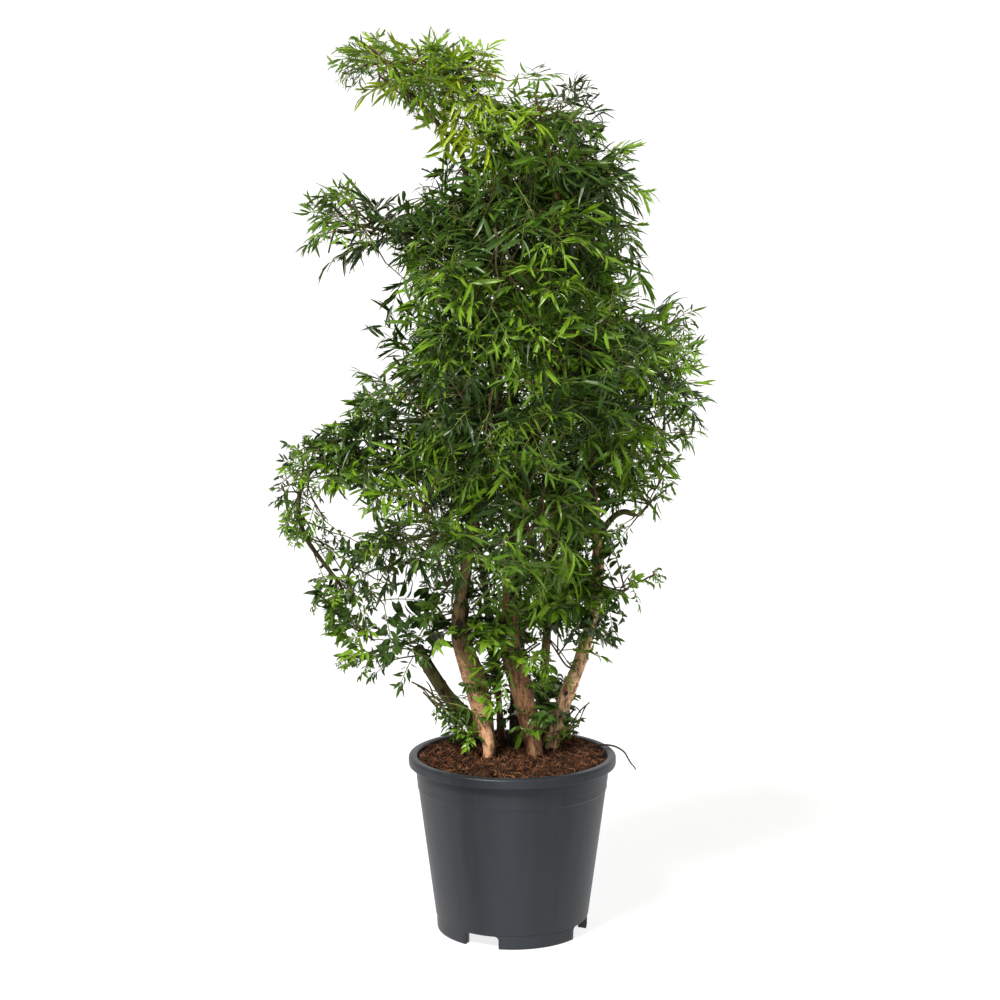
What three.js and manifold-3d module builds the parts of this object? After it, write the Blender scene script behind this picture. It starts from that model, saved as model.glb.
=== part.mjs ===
// Potted ming aralia: a nursery pot with its root ball, eight stems, boughs and leafy masses.
// Millimetres, Z up. The pot's axis is the origin while building, then the whole plant is
// moved so that the middle of its underside box is the origin.
import * as THREE from "three";
import Module from "manifold-3d";

const wasm = await Module();
wasm.setup();

// Pot
const rimRadius = 170;
const potHeight = 290;
const lipHeight = 16;
const lipThickness = 3;
const wallThickness = 3;
const wallTopRadius = 159;
const bandRadius = 155.5;
const bandBottom = 235;
const bandStep = 1.4;
const wallFootRadius = 126;
const footHeight = 22;
const footRadius = 124.6;
const footInset = 15;
const floorTop = 25;
const potSegments = 36;
const notchCount = 4;
const notchFirst = -24;
const notchHalfWidth = 29;

// Root ball
const soilTop = 284;
const soilFlatRadius = 128;
const soilEdge = 279;
const clearance = 0.3;

// Stems: foot to tip, each point is x, y, z, with the radius just over the flare and at the tip,
// and a taper and flare of its own where it has them
const stemSides = 8;
const flareGain = 0.45;
const stemTaper = 0.8;
const flareRise = 16;
const stems = {
  stem_left: {
    foot: 12.5,
    tip: 9,
    path: [[-50, 84, 284], [-64, 60, 322], [-86, 46, 352], [-108, 40, 378], [-130, 36, 412],
      [-146, 32, 440], [-156, 30, 460]],
  },
  stem_front_left: {
    foot: 17,
    tip: 5,
    taper: 1.6,
    flare: 0.12,
    path: [[-44, -30, 284], [-43, -22, 306], [-46, -12, 330], [-51, -5, 364], [-61, -5, 412],
      [-76, -9, 458], [-86, -15, 497], [-84, -24, 549], [-59, -60, 683], [-27, -112, 790]],
  },
  stem_thin: {
    foot: 8,
    tip: 4,
    path: [[-18, 88, 284], [-19, 88, 306], [-23, 90, 364], [-29, 94, 412], [-34, 100, 470],
      [-50, 118, 580], [-62, 136, 685]],
  },
  stem_centre: {
    foot: 14.6,
    tip: 5.5,
    taper: 1.1,
    flare: 0.12,
    path: [[37, -8, 284], [34, -5, 307], [27, -3, 344], [17, -3, 383], [5, -4, 431], [-4, -4, 479],
      [-5, -4, 530], [0, -5, 610], [26, -10, 757], [44, -15, 902], [57, -25, 1030], [68, -52, 1196]],
  },
  stem_right: {
    foot: 13,
    tip: 5,
    flare: 0.15,
    path: [[62, 38, 284], [65, 36, 302], [74, 34, 335], [87, 33, 372], [104, 31, 414], [118, 29, 456],
      [128, 27, 493], [136, 24, 540], [141, 21, 590], [137, 18, 660], [126, 8, 760], [128, -4, 880],
      [139, -22, 1002]],
  },
  stem_back_right: {
    foot: 8,
    tip: 4.5,
    path: [[57, 95, 284], [55, 95, 415], [68, 92, 596], [76, 85, 732], [82, 84, 865], [98, 88, 1029],
      [125, 90, 1160]],
  },
  stem_tuft: {
    foot: 9,
    tip: 4.5,
    path: [[-36, 42, 284], [-46, 42, 347], [-62, 46, 410], [-76, 50, 470], [-80, 48, 530],
      [-72, 44, 620], [-68, 38, 753], [-71, 30, 916], [-80, 20, 1029], [-69, 14, 1140], [-76, 2, 1240],
      [-93, -5, 1284]],
  },
  stem_back: {
    foot: 13,
    tip: 4.5,
    path: [[10, 58, 284], [8, 66, 340], [10, 82, 420], [8, 106, 500], [6, 122, 589], [10, 132, 742],
      [0, 140, 860], [-10, 140, 935]],
  },
};

// Boughs: which stem and height each one leaves, and how far it rises before it runs out
const boughSides = 5;
const boughSteps = 3;
const boughFoot = 5.6;
const boughTip = 4.2;

// Leafy masses: middle, reach along x, y and z, and the limb that feeds each one.
// on: a limb, at: the height on that limb (none = its tip), bough: a bough runs between them
const masses = {
  tuft_crest: { middle: [-94, -10, 1388], reach: [92, 80, 85], on: "stem_tuft", full: 1.4 },
  tuft_side: {
    middle: [-202, -30, 1398],
    reach: [86, 76, 60],
    on: "stem_tuft", at: 1262, bough: 10, full: 1.4,
  },
  dome_front: { middle: [46, -55, 1296], reach: [114, 100, 108], on: "stem_centre" },
  dome_back: { middle: [122, 80, 1226], reach: [112, 108, 104], on: "stem_back_right" },
  upper_crest: { middle: [-22, 14, 1226], reach: [106, 96, 100], on: "stem_tuft", at: 1130 },
  left_spray: {
    middle: [-248, -20, 1144],
    reach: [100, 78, 80],
    on: "stem_tuft", at: 1120, bough: 14, full: 1.4,
  },
  upper_front: {
    middle: [-12, -114, 1086],
    reach: [136, 112, 124],
    on: "stem_centre", at: 930, bough: 60, core: 0.5,
  },
  upper_right: { middle: [137, -40, 1112], reach: [104, 110, 116], on: "stem_right" },
  upper_back: { middle: [-20, 140, 1085], reach: [136, 112, 140], on: "stem_back", core: 0.45 },
  upper_west: { middle: [-124, 0, 1090], reach: [84, 114, 126], on: "stem_tuft", at: 960 },
  right_high: { middle: [198, 10, 974], reach: [114, 102, 94], on: "stem_right", at: 850, bough: 50 },
  right_low: { middle: [226, -20, 868], reach: [102, 106, 108], on: "stem_right", at: 740, bough: 40 },
  mid_left: { middle: [-156, -20, 894], reach: [103, 112, 134], on: "stem_tuft", at: 790, bough: 30 },
  mid_front: { middle: [-25, -134, 893], reach: [120, 108, 130], on: "stem_front_left", core: 0.5 },
  mid_right: {
    middle: [112, -108, 935],
    reach: [104, 106, 130],
    on: "stem_centre", at: 760, bough: 50, core: 0.45,
  },
  mid_back: { middle: [-70, 154, 835], reach: [140, 110, 140], on: "stem_thin", core: 0.45 },
  mid_back_right: {
    middle: [150, 148, 1000],
    reach: [124, 106, 140],
    on: "stem_back_right", at: 860, bough: 40, core: 0.45,
  },
  back_right_low: {
    middle: [130, 164, 780],
    reach: [120, 100, 124],
    on: "stem_back_right", at: 620, bough: 40,
  },
  arch_high: { middle: [-230, -20, 780], reach: [106, 82, 70], on: "bough_arch_rise", at: 746 },
  arch_low: {
    middle: [-338, -48, 727],
    reach: [54, 72, 88],
    on: "bough_arch_fall", at: 712, full: 1.6,
  },
  arch_foot: { middle: [-270, -14, 575], reach: [62, 60, 92], on: "bough_arch_fall", full: 1.4 },
  left_low: { middle: [-222, -20, 462], reach: [72, 60, 48], on: "stem_left", full: 1.3 },
  low_left: {
    middle: [-137, -68, 686],
    reach: [122, 112, 126],
    on: "stem_front_left", at: 530, bough: 40,
  },
  low_front: {
    middle: [38, -128, 702],
    reach: [114, 104, 120],
    on: "stem_centre", at: 540, bough: 40, core: 0.45,
  },
  low_right: { middle: [132, 0, 704], reach: [82, 102, 112], on: "stem_right", at: 670 },
  low_back: { middle: [0, 180, 608], reach: [146, 98, 118], on: "stem_back", at: 500 },
  right_hang: { middle: [231, 10, 706], reach: [44, 60, 57], on: "stem_right", at: 640, bough: 40 },
  low_west: { middle: [-130, 8, 498], reach: [46, 56, 68], on: "stem_left", at: 445, full: 1.2 },
  low_heart: { middle: [-12, 52, 516], reach: [70, 62, 74], on: "stem_thin", at: 470 },
  low_east: { middle: [58, 10, 474], reach: [50, 64, 126], on: "stem_right", at: 425, full: 1.2 },
  sprig_right: { middle: [192, 8, 562], reach: [62, 54, 54], on: "stem_right", at: 540 },
  sprig_base_left: { middle: [-149, 6, 396], reach: [48, 50, 43], on: "stem_left", at: 378 },
  sprig_base_right: { middle: [114, 28, 352], reach: [38, 44, 48], on: "stem_right", at: 335 },
};

// Gaps seen through the crown from the front: middle across and up, half width and half height
const gaps = {
  round: { x: -269, z: 691, wide: 24, high: 51 },
  right: { x: 198, z: 652, wide: 26, high: 24 },
  low_left: { x: -174, z: 546, wide: 36, high: 24 },
  under_tuft: { x: -206, z: 1272, wide: 76, high: 61 },
  under_spray: { x: -262, z: 1018, wide: 61, high: 46 },
  over_tuft: { x: -162, z: 1441, wide: 24, high: 16 },
  notch: { x: -2, z: 1372, wide: 14, high: 34 },
  right_shoulder: { x: 212, z: 1020, wide: 24, high: 22 },
  between_stems: { x: -46, z: 468, wide: 12, high: 22 },
};

// The limb that arches out to the left and hangs down round the gap, in two pieces
const archRise = [[-66, 36, 690], [-120, 12, 732], [-180, -8, 758], [-240, -18, 776]];
const archFall = [[-240, -18, 776], [-256, -20, 781], [-300, -24, 776], [-334, -26, 742],
  [-344, -24, 694], [-332, -20, 648], [-304, -17, 606], [-278, -15, 572]];
const archFoot = 5.5;
const archMiddle = 4.2;
const archTip = 3;

// Twigs and leaves
const spaceGap = 0.6;
const limbGap = 0.6;
const lowestLeaf = 300;
const stemletRadius = 6;
const stemletTip = 5.2;
const twigRadius = 2.8;
const twigTip = 2.5;
const leavesPerTwig = 4.4;
const twigShare = 0.7;
const twigTries = 4;
const leafArea = 840;
const fewestLeaves = 7;
const mostLeaves = 20;
const leafLongest = 150;
const leafShortest = 45;
const leafShare = 1.4;
const leafWidth = 0.44;
const leafThickness = 5;
const leafWidest = 0.4;
const leafSink = 0.6;
const leafDroop = 0.5;
const leafFirst = 0.3;
const leafBendLeast = 0.35;
const leafBendMost = 1.45;
const leafSpread = 90;
const leafTries = 24;
const leafTrims = [1, 0.86, 0.74];
const twigWander = 60;
const twigShortest = 12;
const coreRootDepth = 0.72;
const coreTwigs = 4;
const stemletLead = 10;
const stemletBeyond = 0.5;
const farthest = 400;
const smallestEdge = 0.03;
const firstSeed = 560;
const goldenAngle = Math.PI * (3 - Math.sqrt(5));

const up = new THREE.Vector3(0, 0, 1);

// A number from 0 to 1 that depends only on the mass and the count
function chance(seed, count) {
  let h = Math.imul(seed + 1, 0x9e3779b1) ^ Math.imul(count + 1, 0x85ebca6b);
  h = Math.imul(h ^ (h >>> 15), 0x2c1b3c6d);
  h = Math.imul(h ^ (h >>> 12), 0x297a2d39);
  h ^= h >>> 15;
  return (h >>> 0) / 4294967296;
}

// A closed three.js geometry as a solid
function solidOf(geometry) {
  const position = geometry.getAttribute("position");
  const index = geometry.getIndex();
  const seen = new Map();
  const points = [];
  const remap = [];
  for (let i = 0; i < position.count; i += 1) {
    const p = [position.getX(i), position.getY(i), position.getZ(i)];
    const key = p.map((value) => Math.round(value * 1e4)).join(",");
    if (!seen.has(key)) {
      seen.set(key, points.length / 3);
      points.push(...p);
    }
    remap.push(seen.get(key));
  }
  const faces = [];
  const total = index ? index.count : position.count;
  for (let i = 0; i < total; i += 3) {
    const face = [0, 1, 2].map((k) => remap[index ? index.getX(i + k) : i + k]);
    if (face[0] !== face[1] && face[1] !== face[2] && face[2] !== face[0]) {
      faces.push(...face);
    }
  }
  const mesh = new wasm.Mesh({
    numProp: 3,
    vertProperties: new Float32Array(points),
    triVerts: new Uint32Array(faces),
  });
  return new wasm.Manifold(mesh);
}

// A solid as a three.js geometry
function geometryOf(solid) {
  const mesh = solid.getMesh();
  const positions = [];
  for (let i = 0; i < mesh.vertProperties.length; i += mesh.numProp) {
    positions.push(mesh.vertProperties[i], mesh.vertProperties[i + 1], mesh.vertProperties[i + 2]);
  }
  const geometry = new THREE.BufferGeometry();
  geometry.setAttribute("position", new THREE.Float32BufferAttribute(positions, 3));
  geometry.setIndex(Array.from(mesh.triVerts));
  geometry.computeVertexNormals();
  return geometry;
}

// The biggest outer body of a solid: scraps and sealed pockets are dropped
function biggest(solid) {
  const parts = solid.decompose();
  let best = parts[0];
  for (const part of parts) {
    if (part.volume() > best.volume()) {
      best = part;
    }
  }
  return best;
}

function vector(list) {
  return new THREE.Vector3(list[0], list[1], list[2]);
}

// Rings of a closed cylinder laid along a path; a level foot keeps the first ring flat
function limbGeometry(points, radii, sides, levelFoot) {
  const steps = points.length - 1;
  const geometry = new THREE.CylinderGeometry(1, 1, steps, sides, steps);
  const position = geometry.getAttribute("position");
  const frames = points.map((point, i) => {
    const before = points[Math.max(i - 1, 0)];
    const after = points[Math.min(i + 1, steps)];
    const along = new THREE.Vector3().subVectors(after, before).normalize();
    if (levelFoot && i === 0) {
      along.copy(up);
    }
    const side = new THREE.Vector3(1, 0, 0);
    if (Math.abs(along.x) > 0.9) {
      side.set(0, 0, -1);
    }
    side.addScaledVector(along, -side.dot(along)).normalize();
    const across = new THREE.Vector3().crossVectors(side, along);
    return { side, across };
  });
  const point = new THREE.Vector3();
  for (let i = 0; i < position.count; i += 1) {
    point.fromBufferAttribute(position, i);
    const ring = Math.round(point.y + steps / 2);
    const moved = points[ring].clone();
    moved.addScaledVector(frames[ring].side, point.x * radii[ring]);
    moved.addScaledVector(frames[ring].across, point.z * radii[ring]);
    position.setXYZ(i, moved.x, moved.y, moved.z);
  }
  return geometry;
}

// A limb keeps its centre line and radii so that others can grow from it and keep clear of it
function makeLimb(points, radii, sides, levelFoot) {
  const solid = solidOf(limbGeometry(points, radii, sides, levelFoot));
  const grown = radii.map((radius) => radius + clearance * 1.15);
  return { points, radii, solid, fence: () => solidOf(limbGeometry(points, grown, sides, false)) };
}

// Point and radius of a limb at a height, taking the first crossing from its foot
function limbAt(limb, height) {
  for (let i = 1; i < limb.points.length; i += 1) {
    const a = limb.points[i - 1];
    const b = limb.points[i];
    if ((a.z - height) * (b.z - height) <= 0) {
      const share = (height - a.z) / (b.z - a.z);
      return {
        point: a.clone().lerp(b, share),
        radius: limb.radii[i - 1] + (limb.radii[i] - limb.radii[i - 1]) * share,
        along: b.clone().sub(a).normalize(),
      };
    }
  }
  throw new Error("no such height on the limb");
}

// Least distance between the segments a-b and c-d
function segmentGap(a, b, c, d) {
  const u = b.clone().sub(a);
  const v = d.clone().sub(c);
  const w = a.clone().sub(c);
  const uu = u.dot(u);
  const uv = u.dot(v);
  const vv = v.dot(v);
  const uw = u.dot(w);
  const vw = v.dot(w);
  const spread = uu * vv - uv * uv;
  let s = spread > 1e-9 ? (uv * vw - vv * uw) / spread : 0;
  s = Math.min(Math.max(s, 0), 1);
  let t = (uv * s + vw) / vv;
  t = Math.min(Math.max(t, 0), 1);
  s = Math.min(Math.max((uv * t - uw) / uu, 0), 1);
  return a.clone().addScaledVector(u, s).distanceTo(c.clone().addScaledVector(v, t));
}

// True where the segment c-d passes through the triangle p-q-r
function pierces(c, d, p, q, r) {
  const edge1 = q.clone().sub(p);
  const edge2 = r.clone().sub(p);
  const ray = d.clone().sub(c);
  const cross = new THREE.Vector3().crossVectors(ray, edge2);
  const det = edge1.dot(cross);
  if (Math.abs(det) < 1e-9) {
    return false;
  }
  const offset = c.clone().sub(p);
  const u = offset.dot(cross) / det;
  const side = new THREE.Vector3().crossVectors(offset, edge1);
  const v = ray.dot(side) / det;
  const t = edge2.dot(side) / det;
  return u >= 0 && v >= 0 && u + v <= 1 && t >= 0 && t <= 1;
}

const root = new THREE.Group();
root.name = "potted_ming_aralia";

function add(name, solid, color, roughness) {
  const material = new THREE.MeshStandardMaterial({ color, roughness, metalness: 0 });
  const mesh = new THREE.Mesh(geometryOf(solid), material);
  mesh.name = name;
  root.add(mesh);
}

// Pot: wall, turned-over lip, band under the lip and four feet, turned about the axis
const innerAt = (radius) => radius - wallThickness;
const lipBottom = potHeight - lipHeight;
const potProfile = [
  [0, footHeight],
  [footRadius - footInset, footHeight],
  [footRadius - footInset, 0],
  [footRadius - 0.4, 0],
  [footRadius, footHeight],
  [wallFootRadius, footHeight + 1.5],
  [bandRadius - bandStep, bandBottom],
  [bandRadius, bandBottom + 1.5],
  [wallTopRadius, potHeight - lipThickness - 1],
  [rimRadius - lipThickness, potHeight - lipThickness - 1],
  [rimRadius - lipThickness, lipBottom],
  [rimRadius - 0.6, lipBottom],
  [rimRadius, lipBottom + 3],
  [rimRadius, potHeight - 3],
  [rimRadius - 3, potHeight],
  [innerAt(wallTopRadius) + 2, potHeight],
  [innerAt(wallTopRadius), potHeight - 3],
  [innerAt(wallFootRadius), floorTop + 2],
  [innerAt(wallFootRadius) - 3, floorTop],
  [0, floorTop],
];
function turned(profile) {
  const outline = profile.map(([radius, height]) => new THREE.Vector2(radius, height));
  const geometry = new THREE.LatheGeometry(outline, potSegments);
  geometry.rotateX(Math.PI / 2);
  return solidOf(geometry);
}
let pot = turned(potProfile);
for (let i = 0; i < notchCount; i += 1) {
  const notch = new THREE.BoxGeometry(2 * footInset + 12, 2 * notchHalfWidth, 2 * (footHeight - 1.5));
  notch.translate(footRadius - 2, 0, 0);
  notch.rotateZ(THREE.MathUtils.degToRad(notchFirst - 90 + (i * 360) / notchCount));
  pot = pot.subtract(solidOf(notch));
}
add("pot", biggest(pot), 0x43484d, 0.42);

// Root ball: fills the pot to just under the rim, flat where the stems stand
const innerTop = innerAt(wallTopRadius) - clearance;
const innerFoot = innerAt(wallFootRadius) - clearance;
const soilSlope = (innerTop - innerFoot) / (potHeight - 3 - floorTop - 2);
const soilProfile = [
  [0, floorTop + clearance],
  [innerFoot - 3.2, floorTop + clearance],
  [innerFoot - 0.1, floorTop + 2 + clearance],
  [innerFoot + soilSlope * (soilEdge - floorTop - 2) - 0.1, soilEdge],
  [soilFlatRadius, soilTop],
  [0, soilTop],
];
add("root_ball", turned(soilProfile), 0x4a2c1c, 0.95);

// Stems: radius falls from foot to tip, with a flare at the ground
const limbs = {};
const footLevel = soilTop + clearance;
for (const [name, stem] of Object.entries(stems)) {
  const points = [];
  for (const place of stem.path) {
    points.push(vector(place));
    if (points.length === 1) {
      const next = vector(stem.path[1]);
      points[0].z = footLevel;
      points.push(points[0].clone().lerp(next, flareRise / (next.z - footLevel)));
    }
  }
  const top = points[points.length - 1].z;
  const radii = points.map((point) => {
    const share = (point.z - footLevel) / (top - footLevel);
    const plain = stem.foot + (stem.tip - stem.foot) * Math.pow(share, stem.taper ?? stemTaper);
    return plain * (1 + (stem.flare ?? flareGain) * Math.exp(-(point.z - footLevel) / flareRise));
  });
  limbs[name] = makeLimb(points, radii, stemSides, true);
}

// The room of each mass: an ellipsoid cut by a plane half way to each neighbour that it meets
const rooms = {};
for (const [name, mass] of Object.entries(masses)) {
  rooms[name] = { middle: vector(mass.middle), reach: vector(mass.reach), walls: [] };
}
function supportOf(room, direction) {
  return room.reach.clone().multiply(direction).length();
}
for (const [name, room] of Object.entries(rooms)) {
  for (const [other, neighbour] of Object.entries(rooms)) {
    const away = neighbour.middle.clone().sub(room.middle);
    const distance = away.length();
    if (other !== name) {
      away.normalize();
      const mine = supportOf(room, away);
      const theirs = supportOf(neighbour, away);
      if (mine + theirs > distance - 2 * spaceGap) {
        room.walls.push({ normal: away, limit: (distance * mine) / (mine + theirs) - spaceGap });
      }
    }
  }
}
function inGap(point) {
  return Object.values(gaps).some((gap) => {
    return ((point.x - gap.x) / gap.wide) ** 2 + ((point.z - gap.z) / gap.high) ** 2 < 1;
  });
}
function holds(room, point) {
  const offset = point.clone().sub(room.middle);
  const scaled = offset.clone().divide(room.reach);
  if (scaled.lengthSq() > 1 || point.z < lowestLeaf || inGap(point)) {
    return false;
  }
  return room.walls.every((wall) => offset.dot(wall.normal) < wall.limit);
}

// How far the room reaches from a point inside it along a direction
function reachAlong(room, start, direction, most) {
  let near = 0;
  let far = most;
  for (let i = 0; i < 14; i += 1) {
    const half = (near + far) / 2;
    if (holds(room, start.clone().addScaledVector(direction, half))) {
      near = half;
    } else {
      far = half;
    }
  }
  return near;
}

// Boughs: the arching limb first, then one to each mass that stands off its stem
limbs.bough_arch_rise = makeLimb(
  archRise.map(vector),
  archRise.map((_, i) => archFoot + ((archMiddle - archFoot) * i) / (archRise.length - 1)),
  boughSides,
  false,
);
const fallPoints = archFall.map(vector);
const fallStart = fallPoints[1].clone().sub(fallPoints[0]).normalize();
fallPoints[0].addScaledVector(fallStart, clearance + 0.05);
limbs.bough_arch_fall = makeLimb(
  fallPoints,
  archFall.map((_, i) => archMiddle + ((archTip - archMiddle) * i) / (archFall.length - 1)),
  boughSides,
  false,
);
for (const [name, mass] of Object.entries(masses)) {
  const room = rooms[name];
  if (mass.bough !== undefined) {
    const base = limbAt(limbs[mass.on], mass.at);
    const inward = base.point.clone().sub(room.middle).normalize();
    const entry = reachAlong(room, room.middle, inward, farthest) * 0.94;
    const tip = room.middle.clone().addScaledVector(inward, entry);
    const bend = base.point.clone().lerp(tip, 0.5);
    bend.z += mass.bough;
    const curve = new THREE.QuadraticBezierCurve3(base.point, bend, tip);
    const points = curve.getPoints(boughSteps);
    const foot = Math.min(boughFoot, base.radius * 0.7);
    const radii = points.map((_, i) => foot + ((boughTip - foot) * i) / boughSteps);
    limbs["bough_" + name] = makeLimb(points, radii, boughSides, false);
  }
}

// Where a limb runs out of its stem it is cut back to the clearance
for (const [name, limb] of Object.entries(limbs)) {
  if (name.startsWith("bough")) {
    let solid = limb.solid;
    for (const [other, stem] of Object.entries(limbs)) {
      if (other.startsWith("stem") && solid.intersect(stem.fence()).volume() > 0) {
        solid = solid.subtract(stem.fence());
      }
    }
    limb.solid = biggest(solid);
  }
}
const barkColors = {
  stem_left: 0x6a5038,
  stem_front_left: 0xa98562,
  stem_thin: 0x7d5238,
  stem_centre: 0x86604a,
  stem_right: 0xb8946e,
  stem_back_right: 0x6f5440,
  stem_tuft: 0x6b523d,
  stem_back: 0x765a44,
};
for (const [name, limb] of Object.entries(limbs)) {
  add(name, limb.solid, barkColors[name] ?? 0x6d5a3c, 0.85);
}

// Every straight piece of every limb, for keeping twigs and leaves clear
const pieces = [];
for (const limb of Object.values(limbs)) {
  for (let i = 1; i < limb.points.length; i += 1) {
    const radius = Math.max(limb.radii[i - 1], limb.radii[i]);
    pieces.push({ a: limb.points[i - 1], b: limb.points[i], radius });
  }
}
function clearOfLimbs(a, b, thickness) {
  return pieces.every((piece) => {
    const gap = segmentGap(a, b, piece.a, piece.b);
    return gap > piece.radius + thickness + limbGap;
  });
}

// A three-sided twig through its points
function twigSolid(twig) {
  return solidOf(limbGeometry(twig.points, twig.radii, 3, false));
}

// A leaf: an eight-faced blade from its root to its tip, widest a little under half way
function leafSolid(leaf) {
  const geometry = new THREE.OctahedronGeometry(1, 0);
  const position = geometry.getAttribute("position");
  const corner = new THREE.Vector3();
  for (let i = 0; i < position.count; i += 1) {
    corner.fromBufferAttribute(position, i);
    const spot = leaf.root.clone().lerp(leaf.tip, leafWidest);
    if (corner.x > 0.5) {
      spot.copy(leaf.tip);
    }
    if (corner.x < -0.5) {
      spot.copy(leaf.root);
    }
    spot.addScaledVector(leaf.side, corner.y * leaf.width * 0.5);
    spot.addScaledVector(leaf.face, corner.z * leafThickness * 0.5);
    position.setXYZ(i, spot.x, spot.y, spot.z);
  }
  return solidOf(geometry);
}

// Even directions over a ball, turned by the mass's own angle
function ballDirection(i, count, turn) {
  const z = 1 - (2 * i + 1) / count;
  const angle = i * goldenAngle + turn;
  const flat = Math.sqrt(1 - z * z);
  return new THREE.Vector3(Math.cos(angle) * flat, Math.sin(angle) * flat, z);
}

// True where two flat blades cross
function rimOf(leaf) {
  return [[leaf.root, leaf.left], [leaf.left, leaf.tip], [leaf.tip, leaf.right], [leaf.right, leaf.root]];
}
function cutsBlade(a, b, leaf) {
  return pierces(a, b, leaf.root, leaf.tip, leaf.left) || pierces(a, b, leaf.root, leaf.tip, leaf.right);
}
function bladesCross(one, other) {
  return rimOf(one).some(([a, b]) => cutsBlade(a, b, other))
    || rimOf(other).some(([a, b]) => cutsBlade(a, b, one));
}

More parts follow.
